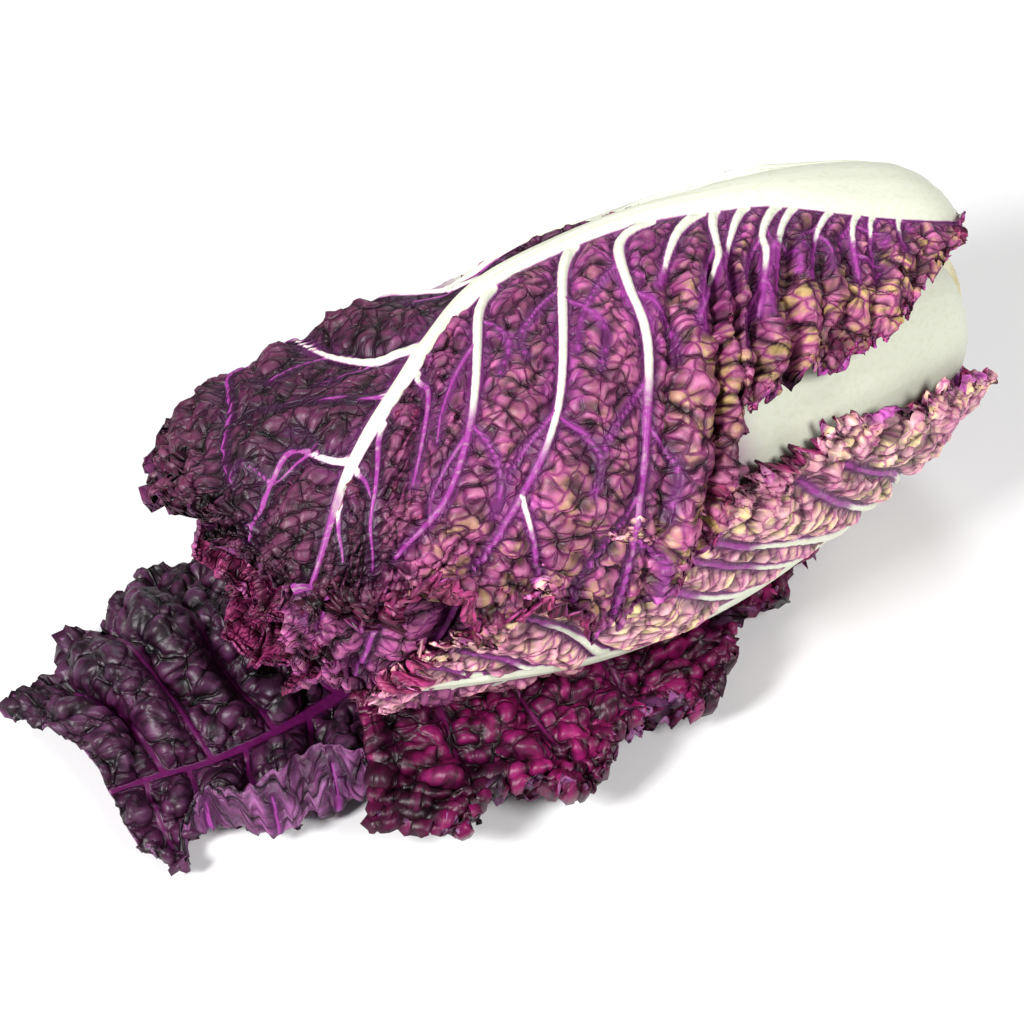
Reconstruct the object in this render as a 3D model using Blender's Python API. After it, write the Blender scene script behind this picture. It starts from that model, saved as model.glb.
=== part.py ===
"""Red napa cabbage, lying on its side on its own loose outer leaves.

Run it with: blender --background --python part.py
The head lies along X with its cut stem at +X and its leaf tips at -X, and it stands on z = 0.
Every leaf is one closed solid. A head leaf is laid out on the head's own surface: how far it is
up the head, as a percentage from the stem to the tips, and how far round it is, in degrees from
the front (-Y) over the top (+Z). The head's leaves lie in layers, one pitch apart, from 0 outside.
"""

import math

import bpy
from mathutils import Vector

# Driving dimensions, in millimetres.
HEAD_LENGTH = 302.0
HEAD_RADIUS = 76.0
STEM_X = 147.0  # the plane that the leaves' bases reach
STEM_RADIUS = 20.5
STEM_PROUD = 3.0  # how far the cut face stands past the leaves' bases
STEM_CONE_LENGTH = 87.0  # the solid stem inside the head
BLADE_THICKNESS = 2.0
RIB_THICKNESS = 3.4
LAYER_CLEARANCE = 1.9
FACET_SAG = 0.8  # how far a leaf's flat facets may cut inside its round surface
ROW_BUNCHING = 1.3  # over 1 puts a head leaf's rows closer near its base, where the head curves most
STEM_CLEARANCE = 0.6
BED_THICKNESS = 3.0  # the loose leaf's petiole, which the head lies on
BED_CLEARANCE = 1.0
BED_HALF_WIDTH = 31.0
LOOSE_REACH = 76.0  # how far the loose leaf goes past the head's tips
LOOSE_HALF_WIDTH = 58.0
LOOSE_RISE = 26.0  # the height of the loose leaf's folds
SKIRT_REACH = 92.0  # how far the skirt leaf spreads to the front, from the head's axis
INNER_LAYERS = 7
FIRST_INNER_LAYER = 3
INNER_HALF_SPAN = 84.0  # degrees
INNER_TURN = 75.0  # degrees from one inner layer to the next
INNER_TIP_SHARE = 0.15  # how much an inner layer's tips draw back, as a share of its shrink

LAYER_PITCH = RIB_THICKNESS + LAYER_CLEARANCE
AXIS_Z = BED_THICKNESS + BED_CLEARANCE + HEAD_RADIUS
LAST_LAYER = FIRST_INNER_LAYER + INNER_LAYERS
CONE_TIP_X = STEM_X - STEM_CONE_LENGTH
MM = 0.001

# The head's outline from the leaves' bases to past their tips: share of the head's length from
# the stem, and share of its radius. The first point is set by the stem instead.
HEAD_OUTLINE = [
    (0.0, 0.395),
    (0.003, 0.55),
    (0.036, 0.70),
    (0.11, 0.82),
    (0.24, 0.945),
    (0.42, 1.0),
    (0.60, 0.985),
    (0.77, 0.895),
    (0.90, 0.75),
    (1.0, 0.55),
    (1.1, 0.36),
]
TIP_KNOT = 10  # the outline's point that is 100 percent up the head

# One line for each rib across a head leaf, from its base to its tip: the midrib's place (percent
# up, degrees round), half the midrib's width in mm, the lower-angle margin's place, and the
# higher-angle margin's place.
TOP_LEAF = [
    (3, 97, 12, 4, 80, 4, 111),
    (8, 94, 17, 8, 70, 8, 113),
    (13, 93, 20, 13, 60, 13, 115),
    (21, 97, 20, 30, 44, 22, 117),
    (27, 100, 16, 38, 45, 29, 115),
    (32, 104, 12, 49, 40, 34, 116),
    (38, 107, 9, 55, 15, 40, 117),
    (45, 111, 7, 67, 0, 48, 120),
    (53, 112, 6, 79, 8, 57, 128),
    (63, 110, 5, 87, 20, 70, 141),
    (72, 98, 4, 90, 27, 87, 147),
    (77, 90, 3.4, 91, 30, 97, 136),
    (83, 80, 2.8, 92, 33, 102, 112),
    (88, 68, 2.2, 93, 36, 101, 88),
    (94, 45, 1.5, 95, 39, 96, 51),
]
UNDER_LEAF = [
    (3, -75, 12, 4, -105, 4, -45),
    (8, -70, 17, 8, -116, 8, -18),
    (13, -65, 20, 14, -126, 14, 12),
    (21, -58, 19, 25, -132, 38, 28),
    (26, -52, 16, 33, -132, 50, 27),
    (34, -46, 13, 43, -128, 61, 27),
    (43, -40, 10, 52, -120, 66, 28),
    (52, -36, 8, 62, -110, 71, 27),
    (62, -33, 6, 70, -95, 79, 19),
    (70, -27, 5, 78, -75, 84, 10),
    (77, -21, 4, 84, -55, 88, 3),
    (84, -17, 3, 89, -35, 91, -3),
    (89, -14, 2, 91, -20, 92, -9),
]
BACK_LEAF = [
    (3, 140, 12, 4, 112, 4, 168),
    (8, 134, 22, 8, 106, 8, 176),
    (13, 132, 26, 14, 102, 14, 186),
    (25, 131, 28, 30, 100, 29, 208),
    (38, 130, 24, 46, 100, 46, 218),
    (52, 129, 17, 62, 104, 64, 220),
    (60, 133, 9, 71, 110, 73, 216),
    (67, 143, 6.5, 79, 116, 81, 208),
    (80, 152, 4, 90, 126, 91, 192),
    (91, 156, 2, 95, 144, 95, 170),
]
FRONT_LEAF = [
    (3, 28, 13, 4, -4, 4, 60),
    (8, 31, 19, 8, -14, 8, 75),
    (13, 34, 24, 14, -22, 14, 88),
    (25, 37, 24, 29, -42, 29, 106),
    (38, 35, 20, 46, -48, 46, 112),
    (52, 34, 15, 64, -48, 64, 112),
    (68, 36, 10, 81, -36, 81, 106),
    (83, 38, 5, 92, -8, 92, 84),
    (93, 40, 2, 96, 22, 96, 58),
]
REAR_LEAF = [
    (3, 212, 13, 4, 180, 4, 244),
    (8, 213, 19, 8, 164, 8, 258),
    (13, 213, 23, 14, 150, 14, 270),
    (25, 213, 22, 29, 128, 29, 296),
    (38, 212, 17, 46, 124, 46, 302),
    (52, 212, 12, 64, 124, 64, 302),
    (68, 211, 8, 81, 132, 81, 290),
    (83, 210, 5, 92, 158, 92, 262),
    (93, 210, 2, 96, 190, 96, 230),
]
# An inner leaf, with its angles measured from its own middle as shares of the half span.
INNER_LEAF = [
    (3, 11, 4, 0.38),
    (6.5, 13, 7, 0.50),
    (11, 14.5, 12, 0.64),
    (17, 15, 19, 0.83),
    (26, 14, 30, 0.97),
    (40, 12, 46, 1.0),
    (58, 9, 66, 1.0),
    (75, 6, 84, 0.93),
    (88, 4, 94, 0.72),
    (97, 2, 100, 0.25),
]


def spline(points, at):
    """The Catmull-Rom curve through the points, where point n is at n."""
    last = len(points) - 1
    i = min(max(int(at), 0), last - 1)
    f = at - i
    p1, p2 = Vector(points[i]), Vector(points[i + 1])
    p0 = Vector(points[i - 1]) if i > 0 else 2 * p1 - p2
    p3 = Vector(points[i + 2]) if i + 2 <= last else 2 * p2 - p1
    return (
        p1
        + (p2 - p0) * (f / 2)
        + (2 * p0 - 5 * p1 + 4 * p2 - p3) * (f * f / 2)
        + (3 * p1 - p0 - 3 * p2 + p3) * (f**3 / 2)
    )


def outline_knots():
    start = (STEM_X - 5.0, STEM_RADIUS + STEM_CLEARANCE)
    body = [(STEM_X - along * HEAD_LENGTH, share * HEAD_RADIUS) for along, share in HEAD_OUTLINE]
    return [start, *body]


OUTLINE = outline_knots()
OUTLINE_STEPS = 20  # samples from each point of the outline to the next


def outline_lengths():
    """The distance along the outline at each sample, as a percentage of that at the tips."""
    count = (len(OUTLINE) - 1) * OUTLINE_STEPS
    samples = [spline(OUTLINE, n / OUTLINE_STEPS) for n in range(count + 1)]
    along = [0.0]
    for a, b in zip(samples, samples[1:]):
        along.append(along[-1] + (b - a).length)
    whole = along[TIP_KNOT * OUTLINE_STEPS]
    return [100.0 * length / whole for length in along]


ALONG = outline_lengths()


def outline_at(percent):
    """Axial place, radius and outward normal of the outermost layer, this far up the head."""
    n = next((k for k, length in enumerate(ALONG) if length > percent), len(ALONG) - 1)
    share = (percent - ALONG[n - 1]) / (ALONG[n] - ALONG[n - 1])
    at = (n - 1 + share) / OUTLINE_STEPS
    point = spline(OUTLINE, at)
    ahead = spline(OUTLINE, at + 0.01) - spline(OUTLINE, at - 0.01)
    return point, Vector((ahead[1], -ahead[0])).normalized()


def head_point(percent, degrees, layer=0.0, depth=0.0):
    """A point on a layer of the head, in mm, this deep under the layer's own surface."""
    shrink = 1.0 - layer * LAYER_PITCH / HEAD_RADIUS
    (x, r), normal = outline_at(percent)
    ahead = x - CONE_TIP_X
    tip_shrink = 1.0 - INNER_TIP_SHARE * (1.0 - shrink) if layer > 0 else 1.0
    x = CONE_TIP_X + ahead * (shrink if ahead > 0 else tip_shrink) - normal[0] * depth
    r = r * shrink - normal[1] * depth
    turn = math.radians(degrees)
    return Vector((x, -r * math.cos(turn), AXIS_Z + r * math.sin(turn)))


def radius_at(percent, layer):
    return outline_at(percent)[0][1] * (1.0 - layer * LAYER_PITCH / HEAD_RADIUS)


def rows_between(first, last, count):
    return [first + (last - first) * n / count for n in range(count + 1)]


def cells_round(degrees, radius):
    """How many facets an arc needs, so that none cuts deeper than the facet sag."""
    facet = 2.0 * math.degrees(math.acos(1.0 - FACET_SAG / radius))
    return max(2, math.ceil(degrees / facet))


def solid_from_sheets(name, outer, inner, colour):
    """One closed mesh object from two grids of points, joined round their rim."""
    rows, columns = len(outer), len(outer[0])
    points = [p * MM for sheet in (outer, inner) for row in sheet for p in row]
    under = rows * columns

    def at(row, column):
        return row * columns + column

    faces = []
    for i in range(rows - 1):
        for j in range(columns - 1):
            quad = (at(i, j), at(i, j + 1), at(i + 1, j + 1), at(i + 1, j))
            faces.append(quad)
            faces.append(tuple(under + k for k in reversed(quad)))
    rim = [at(0, j) for j in range(columns)]
    rim += [at(i, columns - 1) for i in range(1, rows)]
    rim += [at(rows - 1, j) for j in range(columns - 2, -1, -1)]
    rim += [at(i, 0) for i in range(rows - 2, 0, -1)]
    for a, b in zip(rim, rim[1:] + rim[:1]):
        faces.append((b, a, under + a, under + b))
    mesh = bpy.data.meshes.new(name)
    mesh.from_pydata(points, [], faces)
    return placed(name, mesh, colour)


def placed(name, mesh, colour):
    """A smooth-shaded object that faces out, with its own material."""
    mesh.materials.append(leaf_material(name, colour))
    if signed_volume(mesh) < 0:
        mesh.flip_normals()
    mesh.shade_smooth()
    made = bpy.data.objects.new(name, mesh)
    bpy.context.collection.objects.link(made)
    return made


def signed_volume(mesh):
    mesh.calc_loop_triangles()
    total = 0.0
    for triangle in mesh.loop_triangles:
        a, b, c = (mesh.vertices[k].co for k in triangle.vertices)
        total += a.dot(b.cross(c))
    return total


def leaf_material(name, colour):
    material = bpy.data.materials.new(name)
    material.use_nodes = True
    shader = material.node_tree.nodes["Principled BSDF"]
    shader.inputs["Base Color"].default_value = (*colour, 1.0)
    shader.inputs["Roughness"].default_value = 0.4
    shader.inputs["Metallic"].default_value = 0.0
    return material


def smooth_step(low, high, value):
    share = min(max((value - low) / (high - low), 0.0), 1.0)
    return share * share * (3.0 - 2.0 * share)


def thickness_at(percent, in_rib):
    """Leaf thickness in mm: in_rib is 1 along the midrib and 0 in the blade. It thins at both ends."""
    full = BLADE_THICKNESS + (RIB_THICKNESS - BLADE_THICKNESS) * in_rib * (
        1.0 - smooth_step(55.0, 85.0, percent)
    )
    base_share = 0.7 + 0.3 * smooth_step(2.0, 12.0, percent)
    tip_share = 1.0 - 0.15 * smooth_step(80.0, 100.0, percent)
    return full * base_share * tip_share


def head_leaf(name, ribs, layer, colour, rows, rib_cells):
    """A leaf wrapped on a layer of the head. Its columns run from the lower-angle margin to the other."""
    outer, inner = [], []
    radius = HEAD_RADIUS - layer * LAYER_PITCH
    low_cells = cells_round(max(rib[1] - rib[4] for rib in ribs[:-3]), radius)
    high_cells = cells_round(max(rib[6] - rib[1] for rib in ribs[:-3]), radius)
    for share in rows_between(0.0, 1.0, rows):
        at = (len(ribs) - 1.0) * share**ROW_BUNCHING
        up, turn, half, low_up, low_turn, high_up, high_turn = spline(ribs, at)
        rib_turn = math.degrees(half / radius_at(up, layer))
        low_rib = max(turn - rib_turn, low_turn + 1.0)
        high_rib = min(turn + rib_turn, high_turn - 1.0)
        places = []
        for share in rows_between(0.0, 1.0, low_cells)[:-1]:
            places.append((low_up + (up - low_up) * share, low_turn + (low_rib - low_turn) * share, 0.0))
        for share in rows_between(0.0, 1.0, rib_cells):
            depth = math.sin(math.pi * share)
            places.append((up, low_rib + (high_rib - low_rib) * share, depth))
        for share in rows_between(0.0, 1.0, high_cells)[1:]:
            places.append((up + (high_up - up) * share, high_rib + (high_turn - high_rib) * share, 0.0))
        outer.append([head_point(p, d, layer) for p, d, _ in places])
        inner.append([head_point(p, d, layer, thickness_at(p, rib)) for p, d, rib in places])
    return solid_from_sheets(name, outer, inner, colour)


def inner_ribs(middle, layer):
    shrink = 1.0 - layer * LAYER_PITCH / HEAD_RADIUS
    return [
        (
            up,
            middle,
            half * shrink,
            edge_up,
            middle - share * INNER_HALF_SPAN,
            edge_up,
            middle + share * INNER_HALF_SPAN,
        )
        for up, half, edge_up, share in INNER_LEAF
    ]


def build_head_leaves():
    purple, pale, white = (0.16, 0.03, 0.09), (0.55, 0.30, 0.36), (0.80, 0.80, 0.66)
    head_leaf("top_leaf", TOP_LEAF, 0, purple, 16, 4)
    head_leaf("under_leaf", UNDER_LEAF, 1, pale, 14, 4)
    head_leaf("back_leaf", BACK_LEAF, 1, purple, 12, 4)
    head_leaf("front_leaf", FRONT_LEAF, 2, white, 12, 4)
    head_leaf("rear_leaf", REAR_LEAF, 2, purple, 12, 4)
    for n in range(INNER_LAYERS):
        layer = FIRST_INNER_LAYER + n
        for side, letter in ((0.0, "a"), (180.0, "b")):
            ribs = inner_ribs(INNER_TURN * layer + side, layer)
            head_leaf(f"inner_leaf_{n + 1}{letter}", ribs, layer, purple, 10, 2)


def table_sheet(name, ribs, rows, columns, thickness, colour):
    """A leaf that lies on the table, through a grid of points. Its underside never goes below z = 0."""
    upper, lower = [], []
    for at in rows_between(0.0, len(ribs) - 1.0, rows):
        width = len(ribs[0])
        line = [spline([rib[j] for rib in ribs], at) for j in range(width)]
        upper.append([spline(line, to) for to in rows_between(0.0, width - 1.0, columns)])
    for i, row in enumerate(upper):
        before, after = upper[max(i - 1, 0)], upper[min(i + 1, rows)]
        under = []
        for j, p in enumerate(row):
            across = row[max(j - 1, 0)] - row[min(j + 1, columns)]
            normal = (before[j] - after[j]).cross(across).normalized()
            p.z = max(p.z, thickness)
            q = p - normal * thickness
            q.z = max(q.z, 0.0)
            under.append(q)
        lower.append(under)
    return solid_from_sheets(name, upper, lower, colour)


def build_loose_leaf():
    """The lowest leaf: its petiole runs up to the stem, and its blade lies open past the head's tips."""
    tip_x = STEM_X - HEAD_LENGTH
    top = BED_THICKNESS
    strip, wide, rise, reach = BED_HALF_WIDTH, LOOSE_HALF_WIDTH, LOOSE_RISE, LOOSE_REACH

    def round_the_base(up, half_turn):
        shares = (1.0, 0.7, 0.3, 0.0, -0.3, -0.7, -1.0)
        lowered = -BED_CLEARANCE - 0.5
        return [head_point(up, 270.0 - half_turn * s, 0.0, lowered) for s in shares]

    def across(x, *line):
        return [Vector((x + dx, y, z)) for dx, y, z in line]

    def flat_strip(x):
        shares = (1.0, 0.7, 0.3, 0.0, -0.3, -0.7, -1.0)
        return across(x, *[(0, strip * s, top) for s in shares])

    ribs = [
        round_the_base(3, 32),
        round_the_base(8, 36),
        round_the_base(13, 35),
        round_the_base(19, 32),
        round_the_base(26, 28),
        round_the_base(33, 25),
        flat_strip(STEM_X - 0.38 * HEAD_LENGTH),
        flat_strip(STEM_X - 0.52 * HEAD_LENGTH),
        flat_strip(STEM_X - 0.66 * HEAD_LENGTH),
        across(
            tip_x + 70,
            (0, 0.8 * wide, top + 3),
            (0, 0.6 * wide, top),
            (0, 0.3 * wide, top),
            (0, 0, top),
            (0, -0.25 * wide, top),
            (0, -0.45 * wide, top),
            (0, -0.6 * wide, top),
        ),
        across(
            tip_x + 34,
            (0, 1.0 * wide, top + 6),
            (0, 0.75 * wide, 0.4 * rise),
            (0, 0.35 * wide, top + 2),
            (0, -0.08 * wide, top),
            (0, -0.35 * wide, top),
            (0, -0.6 * wide, top + 1),
            (0, -0.8 * wide, top + 4),
        ),
        across(
            tip_x + 2,
            (0, 1.05 * wide, top + 4),
            (0, 0.75 * wide, rise),
            (0, 0.3 * wide, 0.45 * rise),
            (0, -0.16 * wide, top),
            (0, -0.5 * wide, top + 2),
            (0, -0.75 * wide, 0.35 * rise),
            (0, -0.95 * wide, 0.9 * rise),
        ),
        across(
            tip_x - 0.4 * reach,
            (0, 0.9 * wide, top + 4),
            (0, 0.65 * wide, 0.95 * rise),
            (0, 0.25 * wide, 0.6 * rise),
            (0, -0.16 * wide, top + 2),
            (0, -0.45 * wide, top + 3),
            (0, -0.68 * wide, 0.3 * rise),
            (0, -0.85 * wide, 0.6 * rise),
        ),
        across(
            tip_x - 0.7 * reach,
            (-8, 0.68 * wide, top + 4),
            (-8, 0.5 * wide, 0.8 * rise),
            (0, 0.22 * wide, 0.75 * rise),
            (0, -0.15 * wide, 0.4 * rise),
            (0, -0.42 * wide, 0.4 * rise),
            (0, -0.65 * wide, 0.25 * rise),
            (0, -0.85 * wide, 0.25 * rise),
        ),
        across(
            tip_x - 0.7 * reach,
            (-0.3 * reach, 0.48 * wide, top + 5),
            (-0.28 * reach, 0.36 * wide, 0.5 * rise),
            (-0.12 * reach, 0.2 * wide, 0.6 * rise),
            (-0.06 * reach, -0.14 * wide, 0.5 * rise),
            (-0.04 * reach, -0.42 * wide, 0.4 * rise),
            (-0.04 * reach, -0.68 * wide, 0.15 * rise),
            (-0.04 * reach, -0.88 * wide, top + 1),
        ),
    ]
    table_sheet("loose_leaf", ribs, 24, 10, BED_THICKNESS, (0.05, 0.015, 0.04))


def build_skirt_leaf():
    """The next leaf up: it leaves the head underneath, and its blade spreads along the front."""
    reach = SKIRT_REACH

    def on_head(up, *turns):
        return [head_point(up, turn, 0.0, BLADE_THICKNESS) for turn in turns]

    def rib(up, reach_share, edge_z, shift=0.0):
        line = on_head(up, 250.0, 268.0, 286.0, 300.0)
        last = line[-1]
        edge = Vector((last.x + shift, -reach_share * reach, edge_z))
        knee = last.lerp(edge, 0.5)
        knee.z = max(0.55 * knee.z, BED_THICKNESS + 1.0)
        return [*line, knee, edge]

    ribs = [
        on_head(3, 262, 268, 274, 282, 290, 296),
        on_head(8, 256, 264, 274, 284, 294, 303),
        on_head(14, 252, 262, 274, 284, 294, 303),
        on_head(22, 250, 264, 278, 292, 305, 316),
        rib(32, 0.52, 13, -2),
        rib(42, 0.62, 8, -4),
        rib(52, 0.80, 6, -6),
        rib(61, 0.88, 8, -6),
        rib(70, 0.95, 6, -6),
        rib(78, 0.84, 9, -6),
        rib(85, 0.84, 8, -8),
    ]
    table_sheet("skirt_leaf", ribs, 18, 8, BLADE_THICKNESS, (0.20, 0.015, 0.08))


def turned_solid(name, profile, colour, sides):
    """A closed solid turned round the head's axis, from its profile of axial places and radii."""
    points, faces = [], []
    for x, r in profile:
        for n in range(sides):
            turn = 2.0 * math.pi * n / sides
            points.append(Vector((x, r * math.cos(turn), AXIS_Z + r * math.sin(turn))) * MM)
    for ring in range(len(profile) - 1):
        for n in range(sides):
            a, b = ring * sides + n, ring * sides + (n + 1) % sides
            faces.append((a, b, b + sides, a + sides))
    faces.append(tuple(range(sides))[::-1])
    faces.append(tuple(range(len(points) - sides, len(points))))
    mesh = bpy.data.meshes.new(name)
    mesh.from_pydata(points, [], faces)
    return placed(name, mesh, colour)


def build_stem():
    """The cut stem: its butt shows at the base, and its cone holds the leaves' bases."""
    start_x = OUTLINE[0][0]
    blunt = 2.0
    profile = [
        (STEM_X + STEM_PROUD, STEM_RADIUS - 3.0),
        (STEM_X + STEM_PROUD - 2.0, STEM_RADIUS - 1.0),
        (start_x, STEM_RADIUS),
        (CONE_TIP_X + 4.0, blunt),
    ]
    turned_solid("cut_stem", profile, (0.78, 0.74, 0.58), 20)


def build_heart():
    """The youngest leaves, still rolled into one tight bud in the innermost layer."""
    profile = [(CONE_TIP_X, 2.0)]
    shrink = 1.0 - LAST_LAYER * LAYER_PITCH / HEAD_RADIUS
    for up in (34.0, 42.0, 54.0, 66.0, 78.0, 88.0, 94.0):
        point = head_point(up, 0.0, LAST_LAYER)
        profile.append((point.x, -point.y))
    first = profile[1]
    profile.insert(1, (0.5 * (first[0] + CONE_TIP_X), 0.75 * first[1]))
    end = profile[-1]
    profile.append((end[0] - 10.0 * shrink, 0.3 * end[1]))
    turned_solid("heart_bud", profile, (0.55, 0.40, 0.30), 12)


def clear_scene():
    for old in list(bpy.data.objects):
        bpy.data.objects.remove(old, do_unlink=True)


def main():
    clear_scene()
    build_stem()
    build_heart()
    build_head_leaves()
    build_loose_leaf()
    build_skirt_leaf()


main()
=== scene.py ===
"""Red napa cabbage on its side, with two loose outer leaves: the visual model around the CAD frame.

Lengths are in millimetres until a mesh is made. The head lies along X, stem at +X, tips at -X.
A leaf is a grid: rows go from its base to its tip and slant out along its side veins, and columns
go from one margin over the midrib to the other. On the head a point is a percentage up from the
stem, an angle round from the front (-Y) over the top (+Z), and a lift off the leaf's own layer.
"""

import math

import bpy
import numpy as np
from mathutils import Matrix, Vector


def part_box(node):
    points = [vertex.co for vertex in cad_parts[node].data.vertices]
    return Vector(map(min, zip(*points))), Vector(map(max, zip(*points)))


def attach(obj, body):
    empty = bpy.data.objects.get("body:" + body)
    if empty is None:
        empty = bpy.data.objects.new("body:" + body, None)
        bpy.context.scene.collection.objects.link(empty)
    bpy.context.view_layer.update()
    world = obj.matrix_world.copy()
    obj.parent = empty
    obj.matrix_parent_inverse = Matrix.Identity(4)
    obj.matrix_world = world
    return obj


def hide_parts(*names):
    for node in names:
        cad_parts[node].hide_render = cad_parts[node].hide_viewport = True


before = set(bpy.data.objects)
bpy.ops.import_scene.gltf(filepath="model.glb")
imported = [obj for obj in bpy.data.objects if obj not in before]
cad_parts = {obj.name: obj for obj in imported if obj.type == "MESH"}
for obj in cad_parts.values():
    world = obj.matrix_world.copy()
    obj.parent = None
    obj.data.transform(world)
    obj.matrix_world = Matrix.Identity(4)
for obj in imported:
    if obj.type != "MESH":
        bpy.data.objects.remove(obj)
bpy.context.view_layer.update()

BODY = "root"
MM = 0.001

# The head, as the CAD frame has it.
STEM_LOW, STEM_HIGH = (np.array(corner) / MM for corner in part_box("cut_stem"))
STEM_PROUD = 3.0
STEM_X = STEM_HIGH[0] - STEM_PROUD
STEM_RADIUS = (STEM_HIGH[2] - STEM_LOW[2]) / 2
CONE_TIP_X = STEM_LOW[0] - 4.0
AXIS_Z = (STEM_HIGH[2] + STEM_LOW[2]) / 2
HEAD_RADIUS = 76.0
HEAD_LENGTH = 302.0
LAYER_PITCH = 5.3
INNER_LAYERS = 7
FIRST_INNER_LAYER = 3
INNER_HALF_SPAN = 84.0
INNER_TURN = 75.0
INNER_TIP_SHARE = 0.15
BED_TOP = 3.0
TIP_X = STEM_X - HEAD_LENGTH
LOOSE_HALF_WIDTH = 58.0
SKIRT_REACH = 92.0
PLAIN_CELLS = (4.2, 11.0)
UNDER_CELLS = (5.2, 12.0)
LOOSE_CELLS = (8.0, 19.0)
SKIRT_CELLS = (7.0, 17.0)
BLADE_THICKNESS = 0.7
RIB_RISE = 2.6
OFF_TABLE = 0.05
MM_PER_PERCENT = 3.37
FLAT_SHARE = 0.92
MAIN_VEIN = 0.7
VEIN_REACH = 16
FAR = 60.0
FINE_ROWS = 1500

HEAD_OUTLINE = [
    (0.0, 0.395),
    (0.003, 0.55),
    (0.036, 0.70),
    (0.11, 0.82),
    (0.24, 0.945),
    (0.42, 1.0),
    (0.60, 0.985),
    (0.77, 0.895),
    (0.90, 0.75),
    (1.0, 0.55),
    (1.1, 0.36),
]
TIP_KNOT = 10

# Leaf lines: percent up, degrees round and half width of the midrib, then the two margins' places.
TOP_LEAF = [
    (3, 97, 12, 4, 80, 4, 111),
    (8, 94, 17, 8, 70, 8, 113),
    (13, 93, 20, 13, 60, 13, 115),
    (21, 97, 20, 30, 44, 22, 117),
    (27, 100, 16, 38, 45, 29, 115),
    (32, 104, 12, 49, 40, 34, 116),
    (38, 107, 9, 55, 15, 40, 117),
    (45, 111, 7, 67, 0, 48, 118),
    (53, 112, 6, 79, 8, 57, 119.5),
    (63, 110, 5, 87, 20, 70, 122),
    (72, 98, 4, 90, 27, 87, 147),
    (77, 90, 3.4, 91, 30, 97, 136),
    (83, 80, 2.8, 92, 33, 102, 112),
    (88, 68, 2.2, 93, 36, 101, 88),
    (94, 45, 1.5, 95, 39, 96, 51),
]
UNDER_LEAF = [
    (3, -75, 12, 4, -105, 4, -45),
    (8, -70, 17, 8, -116, 8, -18),
    (13, -65, 20, 14, -126, 14, 12),
    (21, -58, 19, 25, -132, 38, 28),
    (26, -52, 16, 33, -132, 50, 27),
    (34, -46, 13, 43, -128, 61, 27),
    (43, -40, 10, 52, -120, 66, 28),
    (52, -36, 8, 62, -110, 71, 27),
    (62, -33, 6, 70, -95, 79, 19),
    (70, -27, 5, 78, -75, 84, 10),
    (77, -21, 4, 84, -55, 88, 3),
    (84, -17, 3, 89, -35, 91, -3),
    (89, -14, 2, 91, -20, 92, -9),
]
BACK_LEAF = [
    (3, 140, 12, 4, 112, 4, 168),
    (8, 134, 22, 8, 106, 8, 176),
    (13, 132, 26, 14, 102, 14, 186),
    (25, 131, 28, 30, 100, 29, 208),
    (38, 130, 24, 46, 100, 46, 218),
    (52, 129, 17, 62, 104, 64, 220),
    (60, 128, 10, 71, 106, 73, 216),
    (67, 134, 8, 79, 112, 81, 208),
    (80, 152, 4, 90, 126, 91, 192),
    (91, 156, 2, 95, 144, 95, 170),
]
FRONT_LEAF = [
    (3, 28, 13, 4, -4, 4, 60),
    (8, 31, 19, 8, -14, 8, 75),
    (13, 34, 24, 14, -22, 14, 88),
    (25, 37, 24, 29, -42, 29, 106),
    (38, 35, 20, 46, -48, 46, 112),
    (52, 34, 15, 64, -48, 64, 112),
    (68, 36, 10, 81, -36, 81, 106),
    (83, 38, 5, 92, -8, 92, 84),
    (93, 40, 2, 96, 22, 96, 58),
]
REAR_LEAF = [
    (3, 212, 13, 4, 180, 4, 244),
    (8, 213, 19, 8, 164, 8, 258),
    (13, 213, 23, 14, 150, 14, 270),
    (25, 213, 22, 29, 128, 29, 296),
    (38, 212, 17, 46, 124, 46, 302),
    (52, 212, 12, 64, 124, 64, 302),
    (68, 211, 8, 81, 132, 81, 290),
    (83, 210, 5, 92, 158, 92, 262),
    (93, 210, 2, 96, 190, 96, 230),
]
INNER_LEAF = [
    (3, 11, 4, 0.38),
    (6.5, 13, 7, 0.50),
    (11, 14.5, 12, 0.64),
    (17, 15, 19, 0.83),
    (26, 14, 30, 0.97),
    (40, 12, 46, 1.0),
    (58, 9, 66, 1.0),
    (75, 6, 84, 0.93),
    (88, 4, 94, 0.72),
    (97, 2, 100, 0.25),
]


# ---------------------------------------------------------------- number tools


def smooth(low, high, value):
    share = np.clip((value - low) / (high - low), 0.0, 1.0)
    return share * share * (3.0 - 2.0 * share)


def band(low, high, edge, value):
    """1 between low and high, falling smoothly to 0 within edge outside them."""
    return smooth(low - edge, low, value) * (1.0 - smooth(high, high + edge, value))


def spline(table, at):
    """The Catmull-Rom curve through the table's rows, where row n is at n."""
    table = np.asarray(table, float)
    last = len(table) - 1
    at = np.asarray(at, float)
    i = np.clip(at.astype(int), 0, last - 1)
    f = (at - i)[..., None]
    padded = np.vstack([2 * table[0] - table[1], table, 2 * table[-1] - table[-2]])
    p0, p1, p2, p3 = padded[i], padded[i + 1], padded[i + 2], padded[i + 3]
    return (
        p1
        + (p2 - p0) * (f / 2)
        + (2 * p0 - 5 * p1 + 4 * p2 - p3) * (f * f / 2)
        + (3 * p1 - p0 - 3 * p2 + p3) * (f**3 / 2)
    )


LATTICE = np.random.default_rng(11).uniform(-1.0, 1.0, (128, 128))


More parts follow.
